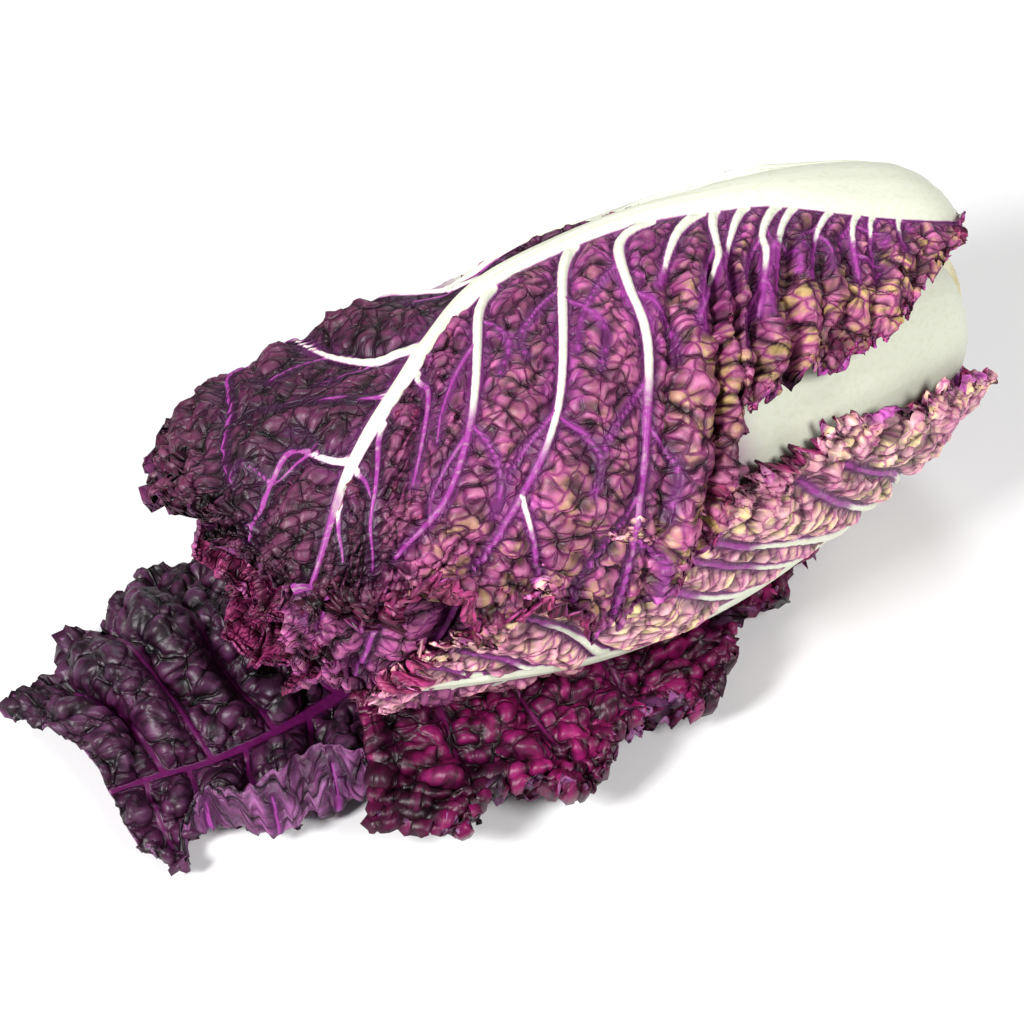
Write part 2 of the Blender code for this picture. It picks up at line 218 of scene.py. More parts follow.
def noise(u, v, seed=0):
    """Smooth noise from -1 to 1, with a new value about every 1 along u and v."""
    u, v = np.broadcast_arrays(np.asarray(u, float) + 31.7 * seed, np.asarray(v, float) + 57.3 * seed)
    i, j = np.floor(u).astype(int), np.floor(v).astype(int)
    f, g = u - i, v - j
    f, g = f * f * (3 - 2 * f), g * g * (3 - 2 * g)
    a, b = i % 128, j % 128
    c, d = (i + 1) % 128, (j + 1) % 128
    low = LATTICE[a, b] * (1 - f) + LATTICE[c, b] * f
    high = LATTICE[a, d] * (1 - f) + LATTICE[c, d] * f
    return low * (1 - g) + high * g


def rough(u, v, seed=0):
    """Noise in three octaves."""
    middle, fine = noise(2.1 * u, 2.1 * v, seed + 1), noise(4.3 * u, 4.3 * v, seed + 2)
    return (noise(u, v, seed) + 0.5 * middle + 0.25 * fine) / 1.3


def unit(vectors):
    return vectors / np.maximum(np.linalg.norm(vectors, axis=-1, keepdims=True), 1e-9)


def lengths(points, axis=0):
    """The distance along the axis from the first point to each."""
    steps = np.linalg.norm(np.diff(points, axis=axis), axis=-1)
    return np.insert(np.cumsum(steps, axis=axis), 0, 0.0, axis=axis)


# ---------------------------------------------------------------- the head's surface


def outline():
    start = (STEM_X - 5.0, STEM_RADIUS + 0.6)
    body = [(STEM_X - along * HEAD_LENGTH, share * HEAD_RADIUS) for along, share in HEAD_OUTLINE]
    knots = [start, *body]
    steps = 40
    at = np.linspace(0, len(knots) - 1, (len(knots) - 1) * steps + 1)
    points = spline(knots, at)
    along = lengths(points)
    ahead = unit(np.gradient(points, axis=0))
    return 100.0 * along / along[TIP_KNOT * steps], points, np.stack([ahead[:, 1], -ahead[:, 0]], axis=1)


ALONG, OUTLINE, OUTWARD = outline()


def on_outline(percent):
    x, r = (np.interp(percent, ALONG, OUTLINE[:, k]) for k in (0, 1))
    nx, nr = (np.interp(percent, ALONG, OUTWARD[:, k]) for k in (0, 1))
    return x, r, nx, nr


def layer_share(layer):
    """A layer's radius as a share of the head's."""
    return 1.0 - layer * LAYER_PITCH / HEAD_RADIUS


def head_point(percent, degrees, layer=0.0, lift=0.0):
    shrink = layer_share(layer)
    x, r, nx, nr = on_outline(percent)
    ahead = x - CONE_TIP_X
    tip_shrink = 1.0 - INNER_TIP_SHARE * (1.0 - shrink) if layer > 0 else 1.0
    x = CONE_TIP_X + ahead * np.where(ahead > 0, shrink, tip_shrink) + nx * lift
    r = r * shrink + nr * lift
    turn = np.radians(degrees)
    return np.stack([x, -r * np.cos(turn), AXIS_Z + r * np.sin(turn)], axis=-1)


# ---------------------------------------------------------------- leaf grids


def crowded(first, last, count, pace, places):
    """Row places from first to last, even in mm, and closer within 3 mm of the given places."""
    fine = np.linspace(first, last, len(pace))
    density = np.ones_like(fine)
    for place in places:
        density += 1.2 * np.exp(-(((fine - place) * pace / 3.0) ** 2))
    total = np.concatenate([[0], np.cumsum((density * pace)[1:])])
    return np.interp(np.linspace(0, total[-1], count), total, fine)


def main_rows(leaf):
    """The row places where the leaf's main side veins leave its midrib."""
    return [path[0][1] for side in leaf["veins"] for path, half, _ in side if half > MAIN_VEIN]


def margin_crowded(count):
    """Shares from 0 at the rib to 1 at the margin, closer together near the margin."""
    return 1 - (1 - np.linspace(0, 1, count + 1)) ** 1.22


def swoop(share):
    """How a side vein leaves the midrib: along it at first, then straight out."""
    return share + 0.07 * (1 - np.exp(-share / 0.05)) * (1 - share)


def margin_teeth(length, width, leaf, seed):
    """How far the margin stands out past its smooth line, as a share of the blade's width."""
    fine, coarse = leaf["teeth"]
    notch = length / 7.0 + 0.6 * noise(length / 15.0, 1.0, seed + 5)
    jag = 1.3 * (notch % 1.0) - 0.6 + 0.5 * noise(length / 2.5, 0.0, seed + 7)
    return (fine * jag + coarse * rough(length / 17.0, 3.0, seed + 6)) / width


def head_sheet(leaf):
    """The grid of a leaf that's wrapped on the head."""
    ribs, layer, seed = leaf["ribs"], leaf["layer"], leaf["seed"]
    last = len(ribs) - 1.0
    fine = np.linspace(0, last, FINE_ROWS)
    table = spline(ribs, fine)
    tracks = [head_point(table[:, k], table[:, k + 1], layer) for k in (0, 3, 5)]
    pace = sum(np.linalg.norm(np.gradient(t, fine, axis=0), axis=1) for t in tracks) / 3
    at = crowded(0, last, leaf["rows"], pace, main_rows(leaf))
    up, turn, half, low_up, low_turn, high_up, high_turn = spline(ribs, at).T
    radius = on_outline(up)[1] * layer_share(layer)
    rib_turn = np.degrees(half / radius)
    low_rib, high_rib = np.maximum(turn - rib_turn, low_turn + 1), np.minimum(turn + rib_turn, high_turn - 1)
    low_cols, rib_cols, high_cols = leaf["columns"]
    lines, shares = [], []
    for side, count, edge_turn, edge_up, rib_edge in (
        (-1, low_cols, low_turn, low_up, low_rib),
        (1, high_cols, high_turn, high_up, high_rib),
    ):
        margin = head_point(edge_up, edge_turn, layer)
        length = lengths(margin)
        width = np.maximum(np.radians(np.abs(edge_turn - rib_edge)) * radius, 15.0)
        toothed = smooth(*leaf["plain_high"], at) if side > 0 else smooth(0.0, 0.8, at)
        jut = margin_teeth(length, width, leaf, seed + side) * toothed
        part, part_share = [], []
        for share in margin_crowded(count)[1:]:
            out = share + jut * share**5
            part.append((up + (edge_up - up) * swoop(out), rib_edge + (edge_turn - rib_edge) * out))
            part_share.append(share)
        if side < 0:
            lines, shares = part[::-1], part_share[::-1]
            for q in np.linspace(0, 1, rib_cols + 1):
                lines.append((up, low_rib + (high_rib - low_rib) * q))
                shares.append(0.0)
        else:
            lines += part
            shares += part_share
    ups = np.stack([line[0] for line in lines], axis=1)
    turns = np.stack([line[1] for line in lines], axis=1)
    middle = low_cols + rib_cols // 2
    round_mm = np.radians(turns - turn.mean()) * FLAT_SHARE * HEAD_RADIUS
    return {
        "points": head_point(ups, turns, layer),
        "flat": np.stack([MM_PER_PERCENT * ups, round_mm], axis=2),
        "sides": (low_cols, low_cols + rib_cols, high_cols),
        "share": np.broadcast_to(np.array(shares), ups.shape).copy(),
        "side": np.where(np.arange(len(shares)) < middle, -1, 1),
        "at": at[:, None],
        "half": half[:, None],
        "middle": middle,
    }


def table_grid(leaf):
    """The grid of a leaf that lies on the table, through lines of points from +Y to -Y."""
    ribs = np.array(leaf["ribs"], float)
    rows, width = ribs.shape[0], ribs.shape[1]
    low, high = leaf["columns"]
    middle_line = leaf["middle_line"]
    fine = np.linspace(0, rows - 1, FINE_ROWS)
    track = spline(ribs[:, middle_line], fine)
    pace = np.linalg.norm(np.gradient(track, fine, axis=0), axis=1) + 4.0
    at = crowded(0, rows - 1, leaf["rows"], pace, main_rows(leaf))
    below = middle_line * (1 - margin_crowded(low)[::-1])
    across = np.concatenate([below, middle_line + (width - 1 - middle_line) * margin_crowded(high)[1:]])
    past = across - middle_line
    share = np.where(past < 0, -past / middle_line, past / (width - 1 - middle_line))
    slant = leaf["slant"]
    points = []
    for a in at:
        row = np.clip(a + slant * share * (1 - a / (rows - 1)) * min(1.0, a / 1.5), 0, rows - 1)
        picked = spline(ribs.reshape(rows, -1), row).reshape(len(across), width, 3)
        index = np.arange(len(across))
        grid = spline(np.moveaxis(picked, 1, 0).reshape(width, -1), across)
        grid = grid.reshape(len(across), len(across), 3)
        points.append(grid[index, index])
    points = np.array(points)
    seed = leaf["seed"]
    for side, column, inner in ((0, 0, 1), (1, -1, -2)):
        edge = points[:, column]
        length = lengths(edge)
        width_mm = np.maximum(np.linalg.norm(edge - points[:, low], axis=1), 15.0)
        jut = margin_teeth(length, width_mm, leaf, seed + side)[:, None] * width_mm[:, None]
        out = unit(points[:, column] - points[:, inner])
        cols = slice(0, low) if side == 0 else slice(low + 1, None)
        points[:, cols] += (jut * out)[:, None, :] * (share[cols] ** 5)[None, :, None]
    return {
        "points": points,
        "sides": (low, low, high),
        "share": np.broadcast_to(share, points.shape[:2]).copy(),
        "side": np.where(np.arange(len(across)) < low, -1, 1),
        "at": at[:, None],
        "half": np.interp(at, np.arange(rows), leaf["halves"])[:, None],
        "middle": low,
    }


def outward(points):
    """The normal on the leaf's outer side, the one that faces away from the head."""
    along, across = np.gradient(points, axis=0), np.gradient(points, axis=1)
    return unit(np.cross(across, along))


def measure(sheet):
    """Adds the distances along and across the sheet in mm, and its flat coordinates."""
    points, middle = sheet["points"], sheet["middle"]
    across = lengths(points, 1)
    sheet["across"] = across - across[:, middle : middle + 1]
    sheet["along"] = lengths(points)
    if "flat" not in sheet:
        sheet["flat"] = np.stack([STEM_X - points[..., 0], sheet["across"]], axis=2)


def trace(sheet, sign, path):
    """Points about 1 mm apart along a path of (share of the blade, row place) pairs."""
    course = spline(path, np.linspace(0, len(path) - 1, 24 * (len(path) - 1) + 1))
    low, high_start, high = sheet["sides"]
    count = low if sign < 0 else high
    step = np.interp(course[:, 0], margin_crowded(count), np.arange(count + 1))
    column = low - step if sign < 0 else high_start + step
    row = np.interp(course[:, 1], sheet["at"][:, 0], np.arange(len(sheet["at"])))
    i = np.minimum(row.astype(int), len(sheet["at"]) - 2)
    j = np.minimum(column.astype(int), sheet["share"].shape[1] - 2)
    f, g = (row - i)[:, None], (column - j)[:, None]
    grid = sheet["points"]
    near = grid[i, j] * (1 - g) + grid[i, j + 1] * g
    far = grid[i + 1, j] * (1 - g) + grid[i + 1, j + 1] * g
    points = near * (1 - f) + far * f
    length = lengths(points)
    even = np.linspace(0, length[-1], max(int(length[-1]), 4))
    return np.stack([np.interp(even, length, points[:, k]) for k in range(3)], axis=1), length[-1]


def gap_to(points, course):
    """Each grid point's distance to the course in mm, and its share of the way along it."""
    first, last = course.min(axis=0) - VEIN_REACH, course.max(axis=0) + VEIN_REACH
    near = np.all((points > first) & (points < last), axis=2)
    gap, way = np.full(points.shape[:2], FAR), np.zeros(points.shape[:2])
    some = points[near]
    if not len(some):
        return gap, way
    square = (some**2).sum(axis=1)[:, None] + (course**2).sum(axis=1)[None] - 2 * some @ course.T
    k = square.argmin(axis=1)
    ahead = unit(np.gradient(course, axis=0))[k]
    offset = some - course[k]
    on = (offset * ahead).sum(axis=1)
    on = np.where(k == 0, np.maximum(on, 0), np.where(k == len(course) - 1, np.minimum(on, 0), on))
    gap[near] = np.linalg.norm(offset - on[:, None] * ahead, axis=1)
    way[near] = k / (len(course) - 1)
    return gap, way


def vein_fields(sheet, leaf):
    """Distance past the edge of the nearest vein, how pale it is there, and how far it stands out."""
    edge = np.abs(sheet["across"]) - sheet["half"]
    reach = sheet["at"] / sheet["at"][-1]
    pale = np.broadcast_to(1 - smooth(*leaf["rib_pale"], reach), edge.shape).copy()
    rib_height = np.minimum(0.34 * sheet["half"], RIB_RISE)
    bulge = np.clip(1 - (np.abs(sheet["across"]) / sheet["half"]) ** 2.6, 0, 1)
    ridge = rib_height * bulge**0.7
    lateral = np.full(edge.shape, FAR)
    for sign, veins in zip((-1, 1), leaf["veins"]):
        for path, half, pale_end in veins:
            course, length = trace(sheet, sign, path)
            gap, way = gap_to(sheet["points"], course)
            width = half * (1 - 0.74 * way) * (1 + 0.4 * np.exp(-way * length / 6.0) * (path[0][0] < 0.05))
            here = gap - width
            nearer = here < edge
            edge = np.where(nearer, here, edge)
            pale = np.where(nearer, 1 - smooth(pale_end - 0.25, pale_end, way), pale)
            if half > MAIN_VEIN:
                lateral = np.minimum(lateral, gap)
            height = 1.1 * width * (smooth(-2.0, 8.0, way * length) if path[0][0] < 0.05 else 1.0)
            ridge = np.maximum(ridge, height * np.exp(-((gap / (0.85 * width + 0.3)) ** 2)))
    if "bare_high" in leaf:
        base, margin = leaf["bare_high"]
        bare = (1 - smooth(*margin, sheet["at"])) * smooth(0.3, 0.5, sheet["share"])
        bare = np.maximum(1 - smooth(*base, sheet["at"]), bare) * (sheet["side"] > 0)
        edge, pale = edge * (1 - bare) - 1.5 * bare, np.maximum(pale, bare)
    return edge, pale, ridge, lateral


def branches(veins, seed, half=0.45):
    """Thin veins that leave each main vein on both sides and run down the panel beside it."""
    random = np.random.default_rng(seed)
    mains = sorted((v for v in veins if v[1] >= 1.0 and v[0][-1][0] > 0.25), key=lambda v: v[0][0][1])
    made = []
    for number, (path, *_) in enumerate(mains):
        for sign in (-1, 1):
            beside = number + sign
            room = abs(mains[beside][0][0][1] - path[0][1]) if 0 <= beside < len(mains) else 1.0
            share = path[0][0] + random.uniform(0.06, 0.2)
            while share < path[-1][0] - 0.15:
                place = np.interp(share, [p[0] for p in path], [p[1] for p in path])
                reach, out = random.uniform(0.09, 0.13), sign * min(room, 1.1) * random.uniform(0.36, 0.5)
                knee = (share + 0.6 * reach, place + 0.6 * out)
                bend = (share + 1.3 * reach, place + 1.02 * out)
                end = (share + 2.0 * reach, place + random.uniform(0.8, 1.1) * out)
                made.append(([(share, place), knee, bend, end], half, 0.05))
                share += random.uniform(0.24, 0.36)
    return made


# ---------------------------------------------------------------- Blender's own cell pattern


def voronoi_tree():
    """A node group that stores Blender's Voronoi distance to edge at each point."""
    tree = bpy.data.node_groups.new("cells", "GeometryNodeTree")
    for way in ("INPUT", "OUTPUT"):
        tree.interface.new_socket("Geometry", in_out=way, socket_type="NodeSocketGeometry")
    start, end = tree.nodes.new("NodeGroupInput"), tree.nodes.new("NodeGroupOutput")
    place = tree.nodes.new("GeometryNodeInputPosition")
    cells = tree.nodes.new("ShaderNodeTexVoronoi")
    cells.voronoi_dimensions, cells.feature = "2D", "DISTANCE_TO_EDGE"
    cells.inputs["Scale"].default_value = 1.0
    store = tree.nodes.new("GeometryNodeStoreNamedAttribute")
    store.data_type, store.domain = "FLOAT", "POINT"
    store.inputs["Name"].default_value = "cell"
    link = tree.links.new
    link(start.outputs[0], store.inputs["Geometry"])
    link(place.outputs[0], cells.inputs["Vector"])
    link(cells.outputs["Distance"], store.inputs["Value"])
    link(store.outputs["Geometry"], end.inputs[0])
    return tree


def cell_distance(flat, size):
    """The distance to the nearest cell wall in cells, just as the materials' Voronoi texture has it."""
    shape = flat.shape[:-1]
    flat = flat.reshape(-1, 2) / size
    mesh = bpy.data.meshes.new("cells")
    mesh.vertices.add(len(flat))
    mesh.vertices.foreach_set("co", np.column_stack([flat, np.zeros(len(flat))]).ravel())
    probe = bpy.data.objects.new("cells", mesh)
    bpy.context.collection.objects.link(probe)
    probe.modifiers.new("cells", "NODES").node_group = CELLS
    found = probe.evaluated_get(bpy.context.evaluated_depsgraph_get()).data.attributes["cell"]
    values = np.empty(len(flat))
    found.data.foreach_get("value", values)
    bpy.data.objects.remove(probe, do_unlink=True)
    bpy.data.meshes.remove(mesh)
    return values.reshape(shape)


CELLS = voronoi_tree()


# ---------------------------------------------------------------- leaf relief

# What a leaf has where it says nothing else. Rows are places in its own table, shares go from
# 0 at the midrib to 1 at the margin, and a side is -1 for the low columns and 1 for the high ones.
PLAIN_LEAF = {
    "slant": 0.0,  # how many rows the columns lean towards the tip, on a leaf on the table
    "facing": 1,  # -1 where the grid's outward side is the leaf's hollow one
    "rib_side": 1,  # how much of the midrib and veins stands out on the grid's outward side
    "rib_pale": (0.93, 1.05),  # between which shares of its length the midrib stops being pale
    "teeth": (1.6, 3.0),  # fine and coarse teeth of the margin, in mm
    "plain_high": (0.0, 0.8),  # the rows between which the high margin's teeth begin
    "swell": 2.6,  # mm of rise beside the main veins
    "sink": 1.3,  # mm of groove right beside every vein
    "waves": 1.2,  # mm of broad waves
    "pleats": (),  # side, first and last row, near and far share, height in mm, rows to a pleat
    "humps": (),  # side, row, share, height in mm, and how many rows and how much share it takes
    "flaps": (),  # side, row, reach in rows, degrees of roll, and width in mm
    "fold_at": 0.5,  # the share of a flap's width in which it turns
    "flap_calm": 0.5,  # how much of the creases a flap loses
    "flap_relief": 1.8,  # how far a flap's relief is turned round, with 2 for all the way
    "ruffle": (3.5, 19.0),  # height and pitch of the margin's ruffle in mm
    "loose": lambda at, share, side: np.ones_like(share),  # how far the margin stands off
    "calm": lambda at, share, side: 1.0,  # how much of all the lift a place keeps
    "cells": PLAIN_CELLS,
    "round": 0.30,  # how soon a blister rises from its wall, in cells
    "blister": 0.45,  # mm of the small cells' rise
    "patch": 1.0,  # mm of the large cells' rise
    "crease": 0.7,
    "wrinkle": 0.6,
    "stretch": 1.3,  # how much longer the cells are along the leaf than across it
    "on_table": False,
}


def pleated(sheet, leaf):
    """Outward lift in mm for the folds between veins, the pleats, the humps and the ruffled margins."""
    at, share, side, seed = sheet["at"], sheet["share"], sheet["side"], leaf["seed"]
    edge, _, _, lateral = sheet["veins"]
    u, v = sheet["flat"][..., 0], sheet["flat"][..., 1]
    along = sheet["along"]
    blade = smooth(0, 9, np.abs(sheet["across"]) - sheet["half"])
    lift = leaf["swell"] * (1 - np.exp(-((lateral / 7.0) ** 2))) * blade
    lift -= leaf["sink"] * np.exp(-(((edge - 1.8) / 2.2) ** 2)) * blade
    lift += leaf["waves"] * rough(u / 26.0, v / 22.0, seed + 9) * blade
    slant = np.abs(sheet["across"]) - 0.75 * np.minimum(lateral, 30.0)
    phase = slant / 12.0 + 0.30 * noise(u / 14.0, v / 14.0, seed + 50)
    fold = np.abs(np.sin(math.pi * phase)) ** 0.7 - 0.6
    lift += 1.8 * fold * smooth(1.0, 7.0, edge) * (1 + 0.5 * noise(u / 17.0, v / 17.0, seed + 51))
    # The folds' height is also kept in the sheet, under fold, for the painted shade and highlight in
    # leaf_shell; the pleats below add theirs.
    sheet["fold"] = fold * smooth(1.0, 7.0, edge)
    for sign, first, last, near, far, height, pitch in leaf["pleats"]:
        where = band(first, last, 0.5, at) * band(near, far, 0.15, share) * (side == sign)
        phase = at / pitch + 0.34 * noise(at * 1.7, share * 3, seed + 4)
        fold = np.abs(np.sin(math.pi * phase)) ** 0.8
        lift += where * height * (fold - 0.55) * (1 + 0.45 * noise(at * 3, share * 5, seed + 8))
        sheet["fold"] = sheet["fold"] * (1 - where) + where * (fold - 0.55)
    for sign, place, out, height, along_size, out_size in leaf["humps"]:
        far = ((at - place) / along_size) ** 2 + ((share - out) / out_size) ** 2
        lift += height * np.exp(-far) * (side == sign)
    size, pitch = leaf["ruffle"]
    phase = 2 * math.pi * (along / pitch + 0.35 * noise(along / 40.0, share, seed + 12))
    wave = 0.5 + 0.5 * np.sin(phase)
    fine = 0.5 + 0.5 * np.sin(2.7 * phase + 1.0)
    loose = leaf["loose"](at, share, side)
    lift += size * loose * share**3 * wave + 0.35 * size * loose * share**6 * fine
    lift += loose * share**2
    return lift * leaf["calm"](at, share, side)


def even_out(rows, reach):
    """Each row averaged with its neighbours."""
    kernel = np.hanning(2 * reach + 3)[1:-1]
    kernel /= kernel.sum()
    padded = np.concatenate([rows[:1].repeat(reach, axis=0), rows, rows[-1:].repeat(reach, axis=0)])
    return np.stack([np.convolve(padded[:, k], kernel, "valid") for k in range(rows.shape[1])], axis=1)


def curl(points, sheet, leaf):
    """Rolls bands of the margin outward, and says how far each point is rolled, from 0 to 1."""
    at, seed = sheet["at"][:, 0], leaf["seed"]
    middle, facing = sheet["middle"], leaf["facing"]
    rolled_share = np.zeros(points.shape[:2])
    fine = np.linspace(0, 1, 60)
    for sign, centre, reach, degrees, width in leaf["flaps"]:
        columns = np.arange(middle, -1, -1) if sign < 0 else np.arange(middle, points.shape[1])
        part, normal = points[:, columns], outward(points)[:, columns] * facing
        run = lengths(part, 1)
        margin = sheet["along"][:, columns[-1]]
        lobe = np.sqrt(np.clip(1 - ((at - centre) / reach) ** 2, 0, 1))
        turn = np.radians(degrees) * (1 + 0.12 * noise(margin / 21.0, 0.5, seed + 40))
        turn = turn * smooth(0.0, 0.35, lobe)
        wide = width * lobe * (1 + 0.14 * noise(margin / 14.0, 4.5, seed + 42))
        wide = even_out(np.clip(wide, 0.5, 0.6 * run[:, -1])[:, None], 6)[:, 0]
        start = run[:, -1] - wide
        k = np.array([np.searchsorted(run[i], start[i]) for i in range(len(run))])
        k = np.clip(k, 2, len(columns) - 2)
        rows = np.arange(len(part))
        base = np.stack([[np.interp(start[i], run[i], part[i, :, c]) for c in range(3)] for i in rows])
        ahead = unit(even_out(part[rows, k + 1] - part[rows, k - 2], 5))
        up = even_out(normal[rows, k], 5)
        up = unit(up - (up * ahead).sum(axis=1, keepdims=True) * ahead)
        for i in np.nonzero(lobe > 0.02)[0]:
            angle = turn[i] * (0.85 * smooth(0.0, leaf["fold_at"], fine) + 0.15 * fine)
            step = wide[i] * fine[1]
            forth = np.concatenate([[0], np.cumsum(np.cos(angle[1:]) * step)])
            rise = np.concatenate([[0], np.cumsum(np.sin(angle[1:]) * step)])
            past = (run[i, k[i] :] - start[i]) / wide[i]
            forth, rise = np.interp(past, fine, forth), np.interp(past, fine, rise)
            points[i, columns[k[i] :]] = base[i] + ahead[i] * forth[:, None] + up[i] * rise[:, None]
            rolled_share[i, columns[k[i] :]] = smooth(0.1, 0.4, past) * smooth(0.0, 0.3, lobe[i])
    return points, rolled_share


def blurred(grid, reach):
    """The grid averaged over its neighbourhood both ways."""
    for _ in range(2):
        grid = even_out(grid, reach).T
    return grid


def leaf_shell(leaf):
    """The leaf's outer and inner grids of points, and what its material reads at each."""
    leaf = {**PLAIN_LEAF, **leaf}
    sheet = head_sheet(leaf) if "layer" in leaf else table_grid(leaf)
    seed, facing, rib_side = leaf["seed"], leaf["facing"], leaf["rib_side"]
    measure(sheet)
    sheet["veins"] = vein_fields(sheet, leaf)
    edge, pale, ridge, lateral = sheet["veins"]
    flat = sheet["flat"]
    warp = np.stack([noise(flat[..., 0] / 9, flat[..., 1] / 9, seed + k) for k in (20, 21)], axis=2)
    warp += 0.4 * np.stack([noise(flat[..., 0] / 3, flat[..., 1] / 3, seed + k) for k in (22, 23)], axis=2)
    flat = (flat + 2.2 * warp) * np.array([1.0 / leaf["stretch"], 1.0]) + 137.0 * seed
    points, rolled = curl(sheet["points"].copy(), sheet, leaf)
    points = points + outward(points) * (pleated(sheet, leaf) * facing * (1 - 0.9 * rolled))[..., None]
    small, large = leaf["cells"]
    cell, patch = cell_distance(flat, small), cell_distance(flat, large)
    puff = 1 - (1 - np.clip(cell / leaf["round"], 0, 1)) ** 2
    swell = 1 - (1 - np.clip(patch / 0.26, 0, 1)) ** 2
    u, v = flat[..., 0], flat[..., 1]
    uneven = 0.65 + 0.5 * noise(u / 19, v / 19, seed + 30)
    relief = leaf["blister"] * (puff - 0.5) * uneven * smooth(-0.2, 2.6, edge)
    relief += leaf["patch"] * (swell - 0.6) * (1.3 - uneven) * 1.4 * smooth(0.5, 5, edge)
    cross = np.abs(sheet["across"]) - 0.8 * np.minimum(lateral, 30.0)
    beside = np.minimum(lateral, 40.0) / 16
    wrinkle = 1 - 2.4 * np.abs(rough(cross / 6.5 + 0.5 * warp[..., 0], beside, seed + 34))
    crease = 1 - 2.4 * np.abs(rough(u / 9, v / 8, seed + 33))
    fine = smooth(0.5, 4, edge) * (1 - leaf["flap_calm"] * rolled)
    relief += (leaf["crease"] * crease + leaf["wrinkle"] * wrinkle) * fine
    # cavity is the relief's small hills and hollows, used only for the painted shade and highlight below.
    cavity = relief - blurred(relief, 4)
    sense = facing * (1 - leaf["flap_relief"] * rolled)
    streak = 2 * noise(sheet["along"] / 60, sheet["across"] / 5, seed)
    groove = 0.16 * np.sin(sheet["across"] * 1.5 + streak) * (edge < 0)
    relief = relief * sense + (ridge + groove) * rib_side
    points = points + outward(points) * relief[..., None]
    thick = BLADE_THICKNESS + 0.6 * ridge * (1 if rib_side > 0.9 else 0.4)
    lower = points - outward(points) * thick[..., None]
    if leaf["on_table"]:
        points[..., 2] = np.maximum(points[..., 2], OFF_TABLE)
        apart = 0.3 * np.sign(lower[..., 2] - points[..., 2])
        lower[..., 2] = np.maximum(np.maximum(lower[..., 2], points[..., 2] + apart), OFF_TABLE)
    tint_and_shade = leaf["tint_and_shade"](sheet["share"], sheet)
    # Painted shade and highlight: darker right beside the veins, in the troughs of the folds and in the small
    # hollows of the relief, lighter on fold crests and small hills, with some random tone from noise. It
    # scales the lightness channel of the blade.
    painted_shade_and_highlight = (0.42 + 0.62 * smooth(0.3, 6.0, edge)) * (1 + 0.9 * sheet["fold"])
    painted_shade_and_highlight *= (1 + 0.50 * rough(u / 15, v / 13, seed + 60)) * np.exp(1.9 * cavity)
    painted_shade_and_highlight = np.clip(painted_shade_and_highlight, 0.06, 1.9)
    tint_and_shade[..., 2] *= np.where(edge > 0, painted_shade_and_highlight, 1.0)
    return points, lower, flat, edge, pale, tint_and_shade


def add_mesh(name, outer, inner, facts):
    """One closed mesh from the two grids, joined round the rim, with the leaf's facts at each point."""
    rows, columns = outer.shape[:2]
    index = np.arange(rows * columns).reshape(rows, columns)
    a, b, c, d = index[:-1, :-1], index[:-1, 1:], index[1:, 1:], index[1:, :-1]
    top = np.stack([a, b, c, d], axis=-1).reshape(-1, 4)
    under = top[:, ::-1] + rows * columns
    rim = np.concatenate([index[0], index[1:, -1], index[-1, -2::-1], index[-2:0:-1, 0]])
    after = np.roll(rim, -1)
    side = np.stack([after, rim, rim + rows * columns, after + rows * columns], axis=1)
    faces = np.concatenate([top, under, side])
    points = np.concatenate([outer.reshape(-1, 3), inner.reshape(-1, 3)]) * MM
    if signed_volume(points, faces) < 0:
        faces = faces[:, ::-1]
    mesh = bpy.data.meshes.new(name)
    mesh.from_pydata(points.tolist(), [], faces.tolist())
    for key, (first, second) in facts.items():
        values = np.concatenate([first.reshape(-1, 3), second.reshape(-1, 3)]).astype(np.float32)
        mesh.attributes.new(key, "FLOAT_VECTOR", "POINT").data.foreach_set("vector", values.ravel())
    mesh.shade_smooth()
    made = bpy.data.objects.new(name, mesh)
    bpy.context.collection.objects.link(made)
    return made


def signed_volume(points, faces):
    a, b, c, d = (points[faces[:, k]] for k in range(4))
    return float((a * np.cross(b, c)).sum() + (a * np.cross(c, d)).sum())


def leaf_piece(node, leaf, material):
    outer, inner, flat, edge, pale, tint_and_shade = leaf_shell(leaf)
    flat = np.concatenate([flat, np.zeros(flat.shape[:2] + (1,))], axis=2)
    one = np.ones_like(edge)
    facts = {
        "flat": (flat, flat),
        "vein": (np.stack([edge, pale, one], axis=2), np.stack([edge, pale, 0 * one], axis=2)),
        "tint_and_shade": (tint_and_shade, tint_and_shade),
    }
    piece = add_mesh(node + "_visual", outer, inner, facts)
    piece.data.materials.append(material)
    settle(piece, node)


def settle(piece, node):
    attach(piece, BODY)
    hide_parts(node)


# ---------------------------------------------------------------- materials


def srgb(*levels):
    """A linear colour from 0 to 255 display levels."""
    shares = [level / 255 for level in levels]
    return (*[s / 12.92 if s <= 0.04045 else ((s + 0.055) / 1.055) ** 2.4 for s in shares], 1.0)


